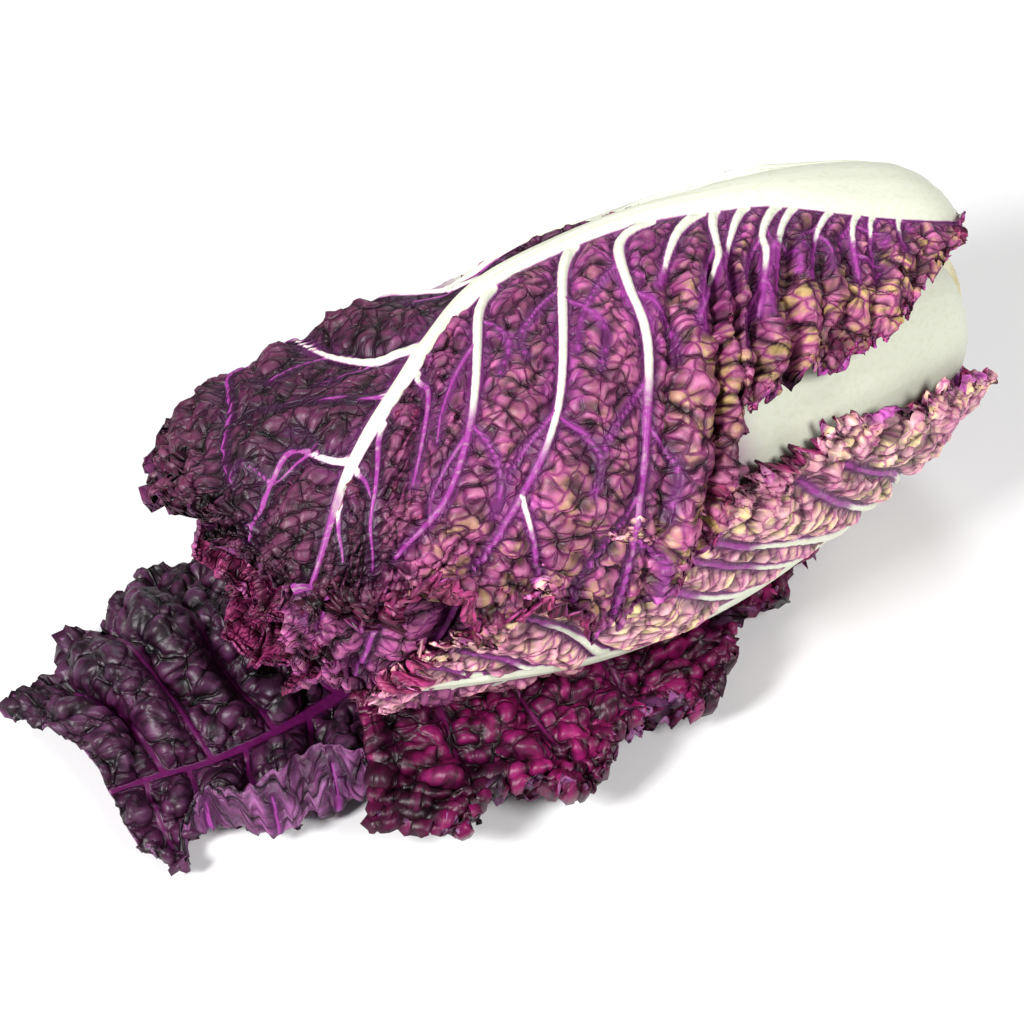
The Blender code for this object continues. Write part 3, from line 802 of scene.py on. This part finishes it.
class Graph:
    """A material's nodes, built by calls that return output sockets."""

    def __init__(self, name):
        self.material = bpy.data.materials.new(name)
        self.material.use_nodes = True
        self.tree = self.material.node_tree
        self.shader = self.tree.nodes["Principled BSDF"]

    def node(self, kind, **settings):
        made = self.tree.nodes.new(kind)
        for key, value in settings.items():
            setattr(made, key, value)
        return made

    def feed(self, socket, value):
        if isinstance(value, bpy.types.NodeSocket):
            self.tree.links.new(value, socket)
        else:
            socket.default_value = value

    def math(self, operation, a, b=0.0):
        made = self.node("ShaderNodeMath", operation=operation)
        self.feed(made.inputs[0], a)
        self.feed(made.inputs[1], b)
        return made.outputs[0]

    def times(self, a, b):
        return self.math("MULTIPLY", a, b)

    def ramp(self, value, low, high):
        """0 below low and 1 above high, or the other way round where low is over high."""
        made = self.node("ShaderNodeMapRange", interpolation_type="SMOOTHSTEP")
        self.feed(made.inputs["Value"], value)
        flipped = not isinstance(low, bpy.types.NodeSocket) and low > high
        self.feed(made.inputs["From Min"], high if flipped else low)
        self.feed(made.inputs["From Max"], low if flipped else high)
        made.inputs["To Min"].default_value = 1.0 if flipped else 0.0
        made.inputs["To Max"].default_value = 0.0 if flipped else 1.0
        return made.outputs[0]

    def mix(self, share, a, b):
        made = self.node("ShaderNodeMix", data_type="RGBA")
        self.feed(made.inputs[0], share)
        self.feed(made.inputs[6], a)
        self.feed(made.inputs[7], b)
        return made.outputs[2]

    def noise(self, vector, size, detail=2.0, roughness=0.55):
        """Noise from 0 to 1 with features about this many mm across."""
        made = self.node("ShaderNodeTexNoise", noise_dimensions="3D")
        self.feed(made.inputs["Vector"], vector)
        made.inputs["Scale"].default_value = 1.0 / size
        made.inputs["Detail"].default_value = detail
        made.inputs["Roughness"].default_value = roughness
        return made.outputs["Fac"]

    def cells(self, vector, size):
        made = self.node("ShaderNodeTexVoronoi", voronoi_dimensions="2D", feature="DISTANCE_TO_EDGE")
        self.feed(made.inputs["Vector"], vector)
        made.inputs["Scale"].default_value = 1.0 / size
        return made.outputs["Distance"]

    def attribute(self, name):
        made = self.node("ShaderNodeAttribute", attribute_name=name)
        return made.outputs["Vector"]

    def split(self, vector):
        made = self.node("ShaderNodeSeparateXYZ")
        self.feed(made.inputs[0], vector)
        return made.outputs[0], made.outputs[1], made.outputs[2]

    def bump(self, height, distance):
        made = self.node("ShaderNodeBump")
        made.inputs["Strength"].default_value = 1.0
        made.inputs["Distance"].default_value = distance
        self.feed(made.inputs["Height"], height)
        self.tree.links.new(made.outputs[0], self.shader.inputs["Normal"])


def leaf_material(name, look):
    """A leaf's material: blade, net veins, side veins and midrib, each side with its own colours."""
    g = Graph(name)
    flat = g.attribute("flat")
    edge, pale, outer = g.split(g.attribute("vein"))
    olive, bright, shade = g.split(g.attribute("tint_and_shade"))
    small, large = look.get("cells", PLAIN_CELLS)
    cell, patch = g.cells(flat, small), g.cells(flat, large)
    broad, fine = g.noise(flat, 24.0, 3.0), g.noise(flat, 1.6, 3.0, 0.65)
    medium = g.noise(flat, 7.0, 3.0, 0.6)

    def blade(side):
        colours = look[side]
        ground = g.mix(g.ramp(broad, 0.38, 0.62), colours["dark"], colours["mid"])
        # Cell centres, the crowns of the blisters, are lightened towards the light colour: a painted
        # highlight, made patchy by noise as random tone.
        centre = g.ramp(cell, 0.05, 0.38)
        painted_crown_highlight = g.times(centre, g.ramp(medium, 0.38, 0.70))
        ground = g.mix(g.times(painted_crown_highlight, 0.55), ground, colours["light"])
        green = g.times(g.ramp(cell, 0.0, 0.20), g.ramp(medium, 0.60, 0.36))
        green = g.times(green, g.ramp(broad, 0.30, 0.55))
        green = g.times(green, olive)
        ground = g.mix(green, ground, colours["olive"])
        ground = g.mix(g.times(g.ramp(fine, 0.42, 0.75), 0.4), ground, colours["dark"])
        # Dark lines on the cell walls, which are the grooves of the relief: partly vein colour, partly
        # painted shade in the grooves; the large cells' walls get thicker ones.
        line = g.math("ADD", g.times(medium, 0.075), 0.008)
        net = g.ramp(cell, line, g.times(line, 0.3))
        net = g.times(net, g.times(g.ramp(fine, 0.25, 0.5), 0.7))
        ground = g.mix(net, ground, colours["net"])
        thick = g.times(g.ramp(patch, 0.045, 0.012), 0.5)
        return g.mix(thick, ground, colours["net"])

    face = g.mix(outer, blade("inner"), blade("outer"))
    fringe = g.mix(outer, look["inner"]["fringe"], look["outer"]["fringe"])
    rib = g.mix(outer, look["inner"]["rib"], look["outer"]["rib"])
    glow = g.math("POWER", 2.718, g.math("DIVIDE", edge, -look.get("glow_reach", 4.5)))
    glow = g.times(g.math("MINIMUM", glow, 1.0), g.times(g.math("MAXIMUM", pale, 0.35), 0.75))
    face = g.mix(glow, face, fringe)
    face = g.mix(g.times(bright, 0.85), face, fringe)
    near = g.math("ADD", edge, g.times(g.math("SUBTRACT", medium, 0.5), 2.4))
    face = g.mix(g.times(g.ramp(near, 2.6, 0.3), 0.9), face, fringe)
    # The blade colour is scaled by the lightness channel, which holds the painted shade and highlight in
    # hollows, beside veins and on crests.
    dim = g.node("ShaderNodeVectorMath", operation="SCALE")
    g.feed(dim.inputs[0], face)
    g.feed(dim.inputs["Scale"], shade)
    face = dim.outputs[0]
    core = g.mix(g.ramp(pale, 0.1, 0.75), fringe, rib)
    streak = g.noise(flat, 2.4, 2.0)
    rib_shade = look.get("rib_shade", srgb(204, 212, 172))
    core = g.mix(g.times(g.ramp(streak, 0.45, 0.75), 0.35), core, rib_shade)
    blush = g.ramp(g.math("ADD", edge, g.times(g.math("SUBTRACT", streak, 0.5), 0.5)), -0.55, 0.05)
    core = g.mix(g.times(blush, 0.8), core, fringe)
    colour = g.mix(g.ramp(edge, 0.14, -0.10), face, core)
    g.feed(g.shader.inputs["Base Color"], colour)
    gloss = g.math("ADD", look.get("roughness", 0.34), g.times(fine, 0.22))
    g.feed(g.shader.inputs["Roughness"], gloss)
    g.shader.inputs["Specular IOR Level"].default_value = 0.36
    height = g.math("ADD", g.times(g.ramp(cell, 0.0, 0.16), 0.7), g.times(fine, 0.35))
    height = g.math("ADD", height, g.times(g.ramp(patch, 0.045, 0.0), 0.8))
    smooth_rib = g.times(height, g.ramp(edge, -0.2, 1.4))
    height = g.math("ADD", smooth_rib, g.times(streak, 0.12))
    g.bump(height, 0.0007)
    return g.material


def palette(base, **levels):
    """A side's colours: those of the base, with some given anew in display levels."""
    return {**base, **{name: srgb(*level) for name, level in levels.items()}}


# Of each side's colours, the light one is painted on the blister crowns as a highlight, and the net one on
# the cell walls as vein colour and painted shade in those grooves.
PURPLE_OUTER = palette(
    {},
    dark=(82, 28, 58),
    mid=(128, 56, 96),
    light=(168, 104, 130),
    olive=(142, 122, 70),
    net=(58, 8, 40),
    fringe=(150, 52, 142),
    rib=(228, 231, 212),
)
MAGENTA_INNER = palette(
    {},
    dark=(78, 14, 46),
    mid=(122, 34, 80),
    light=(162, 72, 116),
    olive=(140, 60, 84),
    net=(66, 6, 40),
    fringe=(124, 26, 84),
    rib=(132, 40, 96),
)


# ---------------------------------------------------------------- the leaves


def side_veins(places, half=1.1, end=0.85, pale_end=0.45):
    """Alike side veins from these row places: each a path, its half width, and where it stops being pale."""
    paths = [[(0.0, place), (end / 2, place + 0.06), (end, place - 0.04)] for place in places]
    return [(path, half, pale_end) for path in paths]


def tints(olive, bright, shade):
    """How olive, how bright magenta and how light the blade is at each point; leaf_shell multiplies the
    lightness by painted shade and highlight.
    """
    return np.stack(np.broadcast_arrays(olive, bright, shade), axis=2).astype(float)


def top_tint(share, sheet):
    at, right = sheet["at"], sheet["side"] < 0
    olive = np.where(right, 0.35 + 0.6 * (1 - smooth(6.0, 7.2, at)) + 0.45 * smooth(0.45, 0.8, share), 0.1)
    olive = olive * (1 - 0.75 * smooth(8.6, 9.8, at))
    bright = np.where(right, 0.7 * smooth(0.97, 0.995, share), 0.5 * smooth(0.97, 0.995, share))
    shade = np.where(right, 1.0 - 0.62 * smooth(8.8, 11.4, at), 0.30)
    shade = np.where(right, shade * (1 + 0.25 * (1 - smooth(2.5, 4.5, at))), shade)
    return tints(np.clip(olive, 0, 1), bright, shade)


def top_loose(at, share, side):
    return np.where(side < 0, 0.35 + 0.9 * smooth(6.5, 9.0, at), smooth(9, 11, at) * 1.6)


def top_leaf():
    low = [
        ([(0.0, 2.67), (0.38, 2.62)], 0.9, 0.6),
        ([(0.0, 3.08), (0.43, 3.01)], 0.9, 0.55),
        ([(0.0, 3.35), (0.25, 3.36), (0.5, 3.3)], 1.1, 0.6),
        ([(0.0, 3.83), (0.2, 4.0), (0.46, 4.12)], 1.1, 0.6),
        ([(0.0, 4.5), (0.25, 4.62), (0.5, 4.6)], 1.3, 0.65),
        ([(0.0, 4.82), (0.16, 4.88), (0.3, 4.8), (0.58, 4.85)], 1.5, 0.75),
        ([(0.0, 5.38), (0.12, 5.5), (0.26, 5.75)], 1.5, 0.8),
        ([(0.0, 5.88), (0.17, 5.8), (0.25, 5.95), (0.36, 6.3)], 1.5, 0.8),
        ([(0.0, 6.14), (0.07, 6.4), (0.22, 6.72)], 2.0, 0.9),
        ([(0.0, 6.86), (0.05, 7.18), (0.19, 7.1), (0.34, 6.95), (0.6, 7.0), (0.97, 6.95)], 1.9, 0.6),
        ([(0.0, 7.96), (0.2, 7.9), (0.4, 7.9), (0.52, 8.0), (0.64, 8.2), (0.8, 8.5)], 1.8, 0.75),
        ([(0.63, 8.18), (0.74, 7.95), (0.92, 7.66)], 0.9, 0.4),
        ([(0.0, 8.97), (0.3, 8.87), (0.5, 8.92), (0.64, 9.15), (0.74, 9.9)], 1.7, 0.6),
        ([(0.0, 10.5), (0.1, 10.05), (0.22, 9.75), (0.5, 9.85)], 0.8, 0.2),
        ([(0.0, 11.56), (0.3, 11.44), (0.52, 11.48), (0.76, 10.95)], 0.8, 0.2),
        ([(0.0, 12.4), (0.2, 11.9), (0.36, 11.6)], 0.8, 0.3),
        ([(0.0, 13.0), (0.3, 12.9), (0.6, 12.6)], 0.7, 0.4),
    ]
    high = [
        ([(0.0, 7.0), (0.3, 7.1), (0.7, 7.0)], 0.8, 0.5),
        ([(0.0, 8.95), (0.22, 9.06), (0.6, 8.85), (0.95, 8.7)], 1.7, 1.0),
        ([(0.0, 10.2), (0.13, 10.41), (0.4, 10.14), (0.82, 9.72)], 1.9, 1.05),
        ([(0.82, 9.72), (0.78, 10.2), (0.66, 11.05), (0.63, 11.8), (0.6, 12.3)], 1.0, 0.1),
        ([(0.0, 12.48), (0.12, 12.2), (0.28, 12.0), (0.37, 12.44), (0.5, 12.96), (0.75, 13.4)], 1.1, 0.35),
        ([(0.0, 11.3), (0.3, 11.2), (0.6, 11.2)], 0.6, 0.05),
    ]
    return {
        "ribs": TOP_LEAF,
        "layer": 0.0,
        "rows": 370,
        "columns": (146, 14, 64),
        "veins": (low + branches(low, 3), high + branches(high, 4)),
        "seed": 1,
        "pleats": [(-1, 4.3, 6.6, 0.28, 1.0, 8.5, 0.55), (-1, 2.6, 4.4, 0.25, 0.9, 4.0, 0.5)],
        "flaps": [
            (-1, 7.65, 0.5, 140.0, 17.0),
            (-1, 8.8, 0.62, 140.0, 19.0),
            (-1, 9.95, 0.45, 135.0, 14.0),
            (-1, 11.4, 0.7, 120.0, 11.0),
            (-1, 12.9, 0.5, 110.0, 9.0),
            (-1, 5.35, 0.22, 130.0, 9.0),
            (-1, 1.2, 0.7, 110.0, 6.0),
        ],
        "humps": [
            (1, 10.6, 0.75, 9.0, 0.9, 0.22),
            (1, 11.9, 0.5, 6.0, 0.5, 0.2),
            (1, 9.5, 0.6, 5.0, 0.5, 0.3),
            (1, 12.7, 0.75, 7.0, 0.5, 0.2),
            (-1, 11.0, 0.35, 3.0, 0.5, 0.2),
        ],
        "ruffle": (4.5, 24.0),
        "plain_high": (8.4, 9.4),
        "bare_high": ((6.0, 6.9), (9.0, 9.5)),
        "loose": top_loose,
        "tint_and_shade": top_tint,
        "rib_pale": (0.86, 0.97),
        "crease": 0.9,
        "wrinkle": 0.85,
        "teeth": (3.4, 4.0),
    }


def under_tint(share, sheet):
    at = sheet["at"]
    olive = np.where(sheet["side"] > 0, 0.95, 0.3) * (1 - 0.5 * smooth(9, 11, at))
    bright = 0.8 * smooth(0.93, 0.98, share) * (noise(sheet["along"] / 14, 1.5, 3) > 0.1)
    return tints(olive, bright, 1.25)


def under_leaf():
    high = [
        ([(0.0, 1.3), (0.5, 1.25)], 1.2, 0.5),
        ([(0.0, 2.0), (0.6, 2.1)], 1.2, 0.5),
        ([(0.0, 2.9), (0.4, 2.8), (0.75, 3.1)], 1.5, 0.55),
        ([(0.0, 3.5), (0.4, 3.6), (0.8, 3.6)], 1.8, 0.62),
        ([(0.0, 4.45), (0.31, 4.6), (0.6, 4.9), (0.85, 4.9)], 1.9, 0.75),
        ([(0.0, 5.3), (0.4, 5.5), (0.8, 5.6)], 1.2, 0.5),
        ([(0.0, 6.3), (0.4, 6.5), (0.85, 6.4)], 1.3, 0.5),
        ([(0.0, 8.3), (0.1, 8.12), (0.4, 7.9), (0.75, 7.9)], 1.8, 0.9),
        ([(0.0, 9.3), (0.4, 9.1), (0.85, 9.0)], 1.0, 0.4),
        ([(0.0, 10.3), (0.4, 10.1), (0.8, 10.0)], 0.9, 0.4),
    ]
    return {
        "ribs": UNDER_LEAF,
        "layer": 1.0,
        "rows": 260,
        "columns": (60, 12, 90),
        "veins": (side_veins(np.arange(1.2, 11, 0.85)), high),
        "seed": 2,
        "flaps": [(1, 3.4, 0.35, 130.0, 10.0), (1, 4.5, 0.25, 110.0, 8.0), (1, 10.2, 0.9, 120.0, 10.0)],
        "humps": [(1, 7.0, 0.0, 5.0, 2.5, 0.3), (-1, 7.0, 0.0, 5.0, 2.5, 0.3)],
        "ruffle": (3.5, 21.0),
        "loose": lambda at, share, side: 0.9 * (side > 0) + 0 * share,
        "tint_and_shade": under_tint,
        "cells": UNDER_CELLS,
        "teeth": (4.0, 4.5),
    }


def plain_tint(olive, bright, shade):
    return lambda share, sheet: tints(olive + 0 * share, bright, shade)


def wrap_leaf(ribs, layer, seed, rows, columns, tint_and_shade, pale_end=0.6, **changes):
    last = len(ribs) - 1
    leaf = {
        "ribs": ribs,
        "layer": float(layer),
        "rows": rows,
        "columns": columns,
        "veins": (
            side_veins(np.arange(1.0, last - 0.4, 0.62), 1.5, 0.9, pale_end),
            side_veins(np.arange(1.3, last - 0.4, 0.62), 1.5, 0.9, pale_end),
        ),
        "seed": seed,
        "tint_and_shade": tint_and_shade,
        "ruffle": (4.0, 22.0),
        "loose": lambda at, share, side: 0.35 + 0.9 * smooth(0.55, 0.85, at / last),
    }
    leaf.update(changes)
    return leaf


def inner_ribs(middle, layer):
    shrink = layer_share(layer)
    return [
        (up, middle, half * shrink, edge, middle - s * INNER_HALF_SPAN, edge, middle + s * INNER_HALF_SPAN)
        for up, half, edge, s in INNER_LEAF
    ]


def loose_ribs():
    """The loose leaf's lines of points from +Y to -Y: its petiole under the head, then its open blade."""
    spread = (1.0, 0.7, 0.3, 0.0, -0.3, -0.7, -1.0)

    def round_the_base(up, half_turn):
        return [tuple(head_point(up, 270.0 - half_turn * s, 0.0, 1.5)) for s in spread]

    def strip(along):
        return [(STEM_X - along * HEAD_LENGTH, 31.0 * s, BED_TOP) for s in spread]

    def row(past_tips, shifts, sides, heights):
        x = TIP_X + past_tips
        return [(x + dx, y * LOOSE_HALF_WIDTH, z) for dx, y, z in zip(shifts, sides, heights)]

    return [
        *(round_the_base(*at) for at in ((3, 32), (8, 36), (13, 35), (19, 32), (26, 28), (33, 25))),
        *(strip(along) for along in (0.38, 0.52, 0.66)),
        row(70, (0, 0, 0, 0, 0, 0, 0), (0.8, 0.6, 0.3, 0, -0.25, -0.45, -0.6), (6, 3, 3, 3, 3, 3, 3)),
        row(36, (4, 2, 0, 0, 0, 0, 0), (1.12, 0.8, 0.36, -0.08, -0.34, -0.78, -1.15), (9, 13, 6, 3, 3, 4, 5)),
        row(8, (2, 0, 0, 0, 0, 0, 0), (1.16, 0.8, 0.34, -0.14, -0.42, -0.88, -1.32), (8, 20, 12, 5, 6, 5, 5)),
        row(-18, (-3, -2, 0, 0, 0, 0, 0), (1, 0.72, 0.3, -0.16, -0.42, -0.86, -1.3), (7, 24, 17, 8, 9, 5, 5)),
        row(
            -36,
            (-12, -8, 0, 0, 0, -1, -2),
            (0.8, 0.58, 0.26, -0.14, -0.38, -0.6, -0.78),
            (6, 18, 20, 12, 11, 5, 4),
        ),
        row(
            -46,
            (-24, -17, -11, -9, -9, -8, -4),
            (0.66, 0.46, 0.2, -0.14, -0.32, -0.5, -0.62),
            (5, 13, 18, 16, 11, 5, 4),
        ),
    ]


def loose_leaf():
    return {
        "ribs": loose_ribs(),
        "middle_line": 3,
        "halves": [12, 16, 18, 18, 17, 15, 13, 10, 6, 3.2, 2.0, 1.6, 1.3, 1.0, 0.8],
        "rows": 330,
        "columns": (80, 90),
        "veins": (
            side_veins((9.0, 9.9, 10.9, 11.9, 12.9), 0.9, 0.9, 0.1),
            side_veins((9.4, 10.4, 11.4, 12.4, 13.3), 0.8, 0.9, 0.1),
        ),
        "seed": 5,
        "slant": 2.2,
        "facing": -1,
        "rib_side": 0.35,
        "blister": 0.5,
        "patch": 1.6,
        "crease": 1.3,
        "wrinkle": 0.9,
        "swell": 4.0,
        "sink": 1.5,
        "waves": 3.0,
        "cells": LOOSE_CELLS,
        "round": 0.42,
        "pleats": [(-1, 9.0, 13.4, 0.15, 1.0, 6.5, 1.3), (1, 9.2, 13.6, 0.15, 0.5, 4.0, 1.3)],
        "flaps": [(1, 11.05, 2.05, 140.0, 30.0)],
        "fold_at": 0.35,
        "flap_relief": 1.4,
        "flap_calm": 0.6,
        "ruffle": (7.0, 34.0),
        "loose": lambda at, share, side: smooth(9, 10.5, at) + 0 * share,
        "tint_and_shade": plain_tint(0.0, 0.0, 1.0),
        "rib_pale": (0.2, 0.5),
        "on_table": True,
        "teeth": (1.5, 5.0),
        "stretch": 1.1,
    }


def skirt_ribs():
    reach = SKIRT_REACH

    def on_head(up, *turns):
        return [tuple(head_point(up, turn, 0.0, -2.0)) for turn in turns]

    def rib(up, out, edge_z, shift=0.0, hump=0.0):
        line = on_head(up, 250.0, 268.0, 286.0, 300.0)
        last = np.array(line[-1])
        edge = np.array([last[0] + shift, -out * reach, edge_z])
        knee = (last + edge) / 2
        knee[2] = max(0.55 * knee[2], BED_TOP + 1.0) + hump
        return [*line, tuple(knee), tuple(edge)]

    return [
        on_head(3, 262, 268, 274, 282, 290, 296),
        on_head(8, 256, 264, 274, 284, 294, 303),
        on_head(14, 252, 262, 274, 284, 294, 303),
        on_head(22, 250, 262, 274, 285, 296, 306),
        rib(32, 0.52, 16, -2, 3),
        rib(42, 0.68, 8, -4, 4),
        rib(52, 0.86, 6, -6, 6),
        rib(61, 0.94, 9, -6, 6),
        rib(70, 0.99, 6, -6, 8),
        rib(78, 0.92, 10, -6, 9),
        rib(85, 0.84, 9, -5, 12),
        rib(90, 0.66, 8, -4, 14),
    ]


def skirt_leaf():
    return {
        "ribs": skirt_ribs(),
        "middle_line": 2,
        "halves": [10, 13, 14, 13, 12, 10, 8, 6, 4.5, 3, 1.5, 1.0],
        "rows": 300,
        "columns": (24, 110),
        "veins": (
            side_veins(np.arange(3, 9, 1.3)),
            side_veins((3.2, 4.4, 5.7, 7.0, 8.2, 9.4), 0.6, 0.8, 0.05),
        ),
        "seed": 6,
        "facing": -1,
        "rib_side": 0.4,
        "blister": 0.7,
        "patch": 1.8,
        "crease": 1.3,
        "wrinkle": 0.9,
        "flaps": [(1, 5.2, 0.4, 120.0, 7.0), (1, 7.0, 0.5, 130.0, 8.0), (1, 9.1, 0.45, 120.0, 7.0)],
        "swell": 5.0,
        "waves": 4.0,
        "cells": SKIRT_CELLS,
        "round": 0.42,
        "pleats": [(1, 4.2, 10.6, 0.25, 1.0, 6.0, 1.15)],
        "ruffle": (10.0, 31.0),
        "loose": lambda at, share, side: smooth(4.0, 5.2, at) * (side > 0) + 0 * share,
        "tint_and_shade": plain_tint(0.0, 0.0, 1.0),
        "rib_pale": (0.2, 0.5),
        "on_table": True,
        "teeth": (2.5, 5.0),
        "stretch": 1.0,
    }


def leaf_materials():
    """The materials of the wrapped leaves, the under leaf, the loose leaf and the skirt leaf."""
    pale_outer = palette(
        PURPLE_OUTER,
        dark=(146, 84, 112),
        mid=(176, 122, 138),
        light=(202, 172, 164),
        olive=(196, 180, 126),
        net=(106, 20, 74),
    )
    dark_outer = palette(
        PURPLE_OUTER,
        dark=(74, 36, 66),
        mid=(112, 64, 104),
        light=(146, 100, 142),
        olive=(100, 76, 96),
        net=(60, 16, 54),
        rib=(150, 60, 140),
    )
    black_inner = palette(
        {},
        dark=(20, 4, 15),
        mid=(46, 16, 38),
        light=(90, 54, 84),
        olive=(52, 30, 40),
        net=(12, 2, 8),
        fringe=(84, 8, 70),
        rib=(128, 26, 110),
    )
    deep_inner = palette(
        MAGENTA_INNER,
        dark=(40, 2, 24),
        mid=(92, 6, 56),
        light=(138, 24, 92),
        net=(30, 2, 16),
        fringe=(104, 12, 76),
        rib=(130, 24, 104),
    )
    waxy = {"outer": dark_outer, "roughness": 0.32}
    pale = {"outer": pale_outer, "inner": MAGENTA_INNER, "cells": UNDER_CELLS, "glow_reach": 2.5}
    black = {**waxy, "inner": black_inner, "cells": LOOSE_CELLS, "rib_shade": srgb(120, 24, 104)}
    deep = {**waxy, "inner": deep_inner, "cells": SKIRT_CELLS, "rib_shade": srgb(140, 30, 110)}
    return (
        leaf_material("top_leaf", {"outer": PURPLE_OUTER, "inner": MAGENTA_INNER}),
        leaf_material("under_leaf", pale),
        leaf_material("loose_leaf", black),
        leaf_material("skirt_leaf", deep),
    )


def build_leaves():
    top, under, loose, skirt = leaf_materials()
    leaf_piece("top_leaf", top_leaf(), top)
    leaf_piece("under_leaf", under_leaf(), under)
    tint_and_shade, look = plain_tint(0.35, 0.0, 0.85), {"loose": back_loose, "calm": back_calm}
    back = wrap_leaf(BACK_LEAF, 1, 3, 230, (46, 12, 70), tint_and_shade, rib_pale=(0.6, 0.85), **look)
    leaf_piece("back_leaf", back, top)
    tint_and_shade = plain_tint(0.2, 0.2, 0.9)
    front = wrap_leaf(FRONT_LEAF, 2, 4, 180, (50, 20, 50), tint_and_shade, 0.15, rib_pale=(0.5, 0.66))
    leaf_piece("front_leaf", front, top)
    rear = wrap_leaf(REAR_LEAF, 2, 7, 240, (74, 14, 74), plain_tint(0.5, 0.0, 1.0), rib_pale=(0.6, 0.85))
    leaf_piece("rear_leaf", rear, top)
    leaf_piece("loose_leaf", loose_leaf(), loose)
    leaf_piece("skirt_leaf", skirt_leaf(), skirt)
    tint_and_shade, look = plain_tint(0.3, 0.25, 1.0), {"ruffle": (2.2, 17.0), "rib_pale": (0.5, 0.7)}
    for n in range(INNER_LAYERS):
        layer = FIRST_INNER_LAYER + n
        rows = 120 if layer < 6 else 80
        for number, letter in enumerate("ab"):
            ribs = inner_ribs(INNER_TURN * layer + 180.0 * number, layer)
            inner = wrap_leaf(ribs, layer, 10 + 2 * n + number, rows, (30, 6, 30), tint_and_shade, 0.25, **look)
            leaf_piece(f"inner_leaf_{n + 1}{letter}", inner, top)


def back_calm(at, share, side):
    return 0.1 + 0.9 * smooth(4.0, 6.0, at) + 0 * share


def back_loose(at, share, side):
    return np.where(side < 0, 0.0, 0.4 + 1.2 * smooth(4.2, 7, at)) + 0 * share


# ---------------------------------------------------------------- stem and heart


def flesh_material(name, base, shade):
    g = Graph(name)
    place = g.node("ShaderNodeTexCoord").outputs["Object"]
    broad, fine = g.noise(place, 0.012, 3.0), g.noise(place, 0.0016, 3.0)
    colour = g.mix(g.ramp(broad, 0.35, 0.7), base, shade)
    colour = g.mix(g.times(g.ramp(fine, 0.6, 0.8), 0.4), colour, shade)
    g.feed(g.shader.inputs["Base Color"], colour)
    g.feed(g.shader.inputs["Roughness"], g.math("ADD", 0.35, g.times(fine, 0.2)))
    g.bump(fine, 0.0003)
    return g.material


def dress_core():
    """The CAD's own stem and heart bud, with procedural materials."""
    for node, colours in (
        ("cut_stem", (srgb(236, 232, 204), srgb(206, 196, 150))),
        ("heart_bud", (srgb(150, 84, 104), srgb(84, 20, 54))),
    ):
        material = flesh_material(node, *colours)
        for slot in bpy.data.objects[node].material_slots:
            slot.material = material


# ---------------------------------------------------------------- stage


def add_area(name, place, target, size, power):
    light = bpy.data.lights.new(name, "AREA")
    light.size, light.energy = size, power
    lamp = bpy.data.objects.new(name, light)
    lamp.location = place
    lamp.rotation_euler = (Vector(target) - Vector(place)).to_track_quat("-Z", "Y").to_euler()
    bpy.context.collection.objects.link(lamp)


def build_stage():
    mesh = bpy.data.meshes.new("floor")
    half = 3.0
    corners = [(-half, -half, 0), (half, -half, 0), (half, half, 0), (-half, half, 0)]
    mesh.from_pydata(corners, [], [(0, 1, 2, 3)])
    floor = bpy.data.objects.new("floor", mesh)
    bpy.context.collection.objects.link(floor)
    g = Graph("floor")
    g.shader.inputs["Base Color"].default_value = (0.86, 0.86, 0.86, 1)
    g.shader.inputs["Roughness"].default_value = 0.9
    mesh.materials.append(g.material)
    world = bpy.data.worlds.new("studio")
    world.use_nodes = True
    world.node_tree.nodes["Background"].inputs[0].default_value = (1, 1, 1, 1)
    world.node_tree.nodes["Background"].inputs[1].default_value = 0.16
    bpy.context.scene.world = world
    middle = (0.0, 0.0, 0.07)
    add_area("key", (-1.05, -0.15, 0.9), middle, 0.35, 22)
    add_area("front", (0.25, -0.95, 1.1), middle, 0.5, 14)
    add_area("back", (0.5, 0.9, 1.0), middle, 0.5, 6)


def build_camera():
    azimuth, elevation, distance = math.radians(-31), math.radians(50), 0.880
    aim = Vector((-0.0405, -0.0024, AXIS_Z * MM - 0.0192))
    level = math.cos(elevation)
    back = Vector((math.sin(azimuth) * level, -math.cos(azimuth) * level, math.sin(elevation)))
    data = bpy.data.cameras.new("camera")
    data.lens, data.sensor_width = 85.0, 36.0
    camera = bpy.data.objects.new("camera", data)
    camera.location = aim + back * distance
    camera.rotation_euler = (-back).to_track_quat("-Z", "Y").to_euler()
    bpy.context.collection.objects.link(camera)
    bpy.context.scene.camera = camera
    bpy.context.scene.view_settings.view_transform = "Standard"


build_camera()
build_stage()
build_leaves()
dress_core()
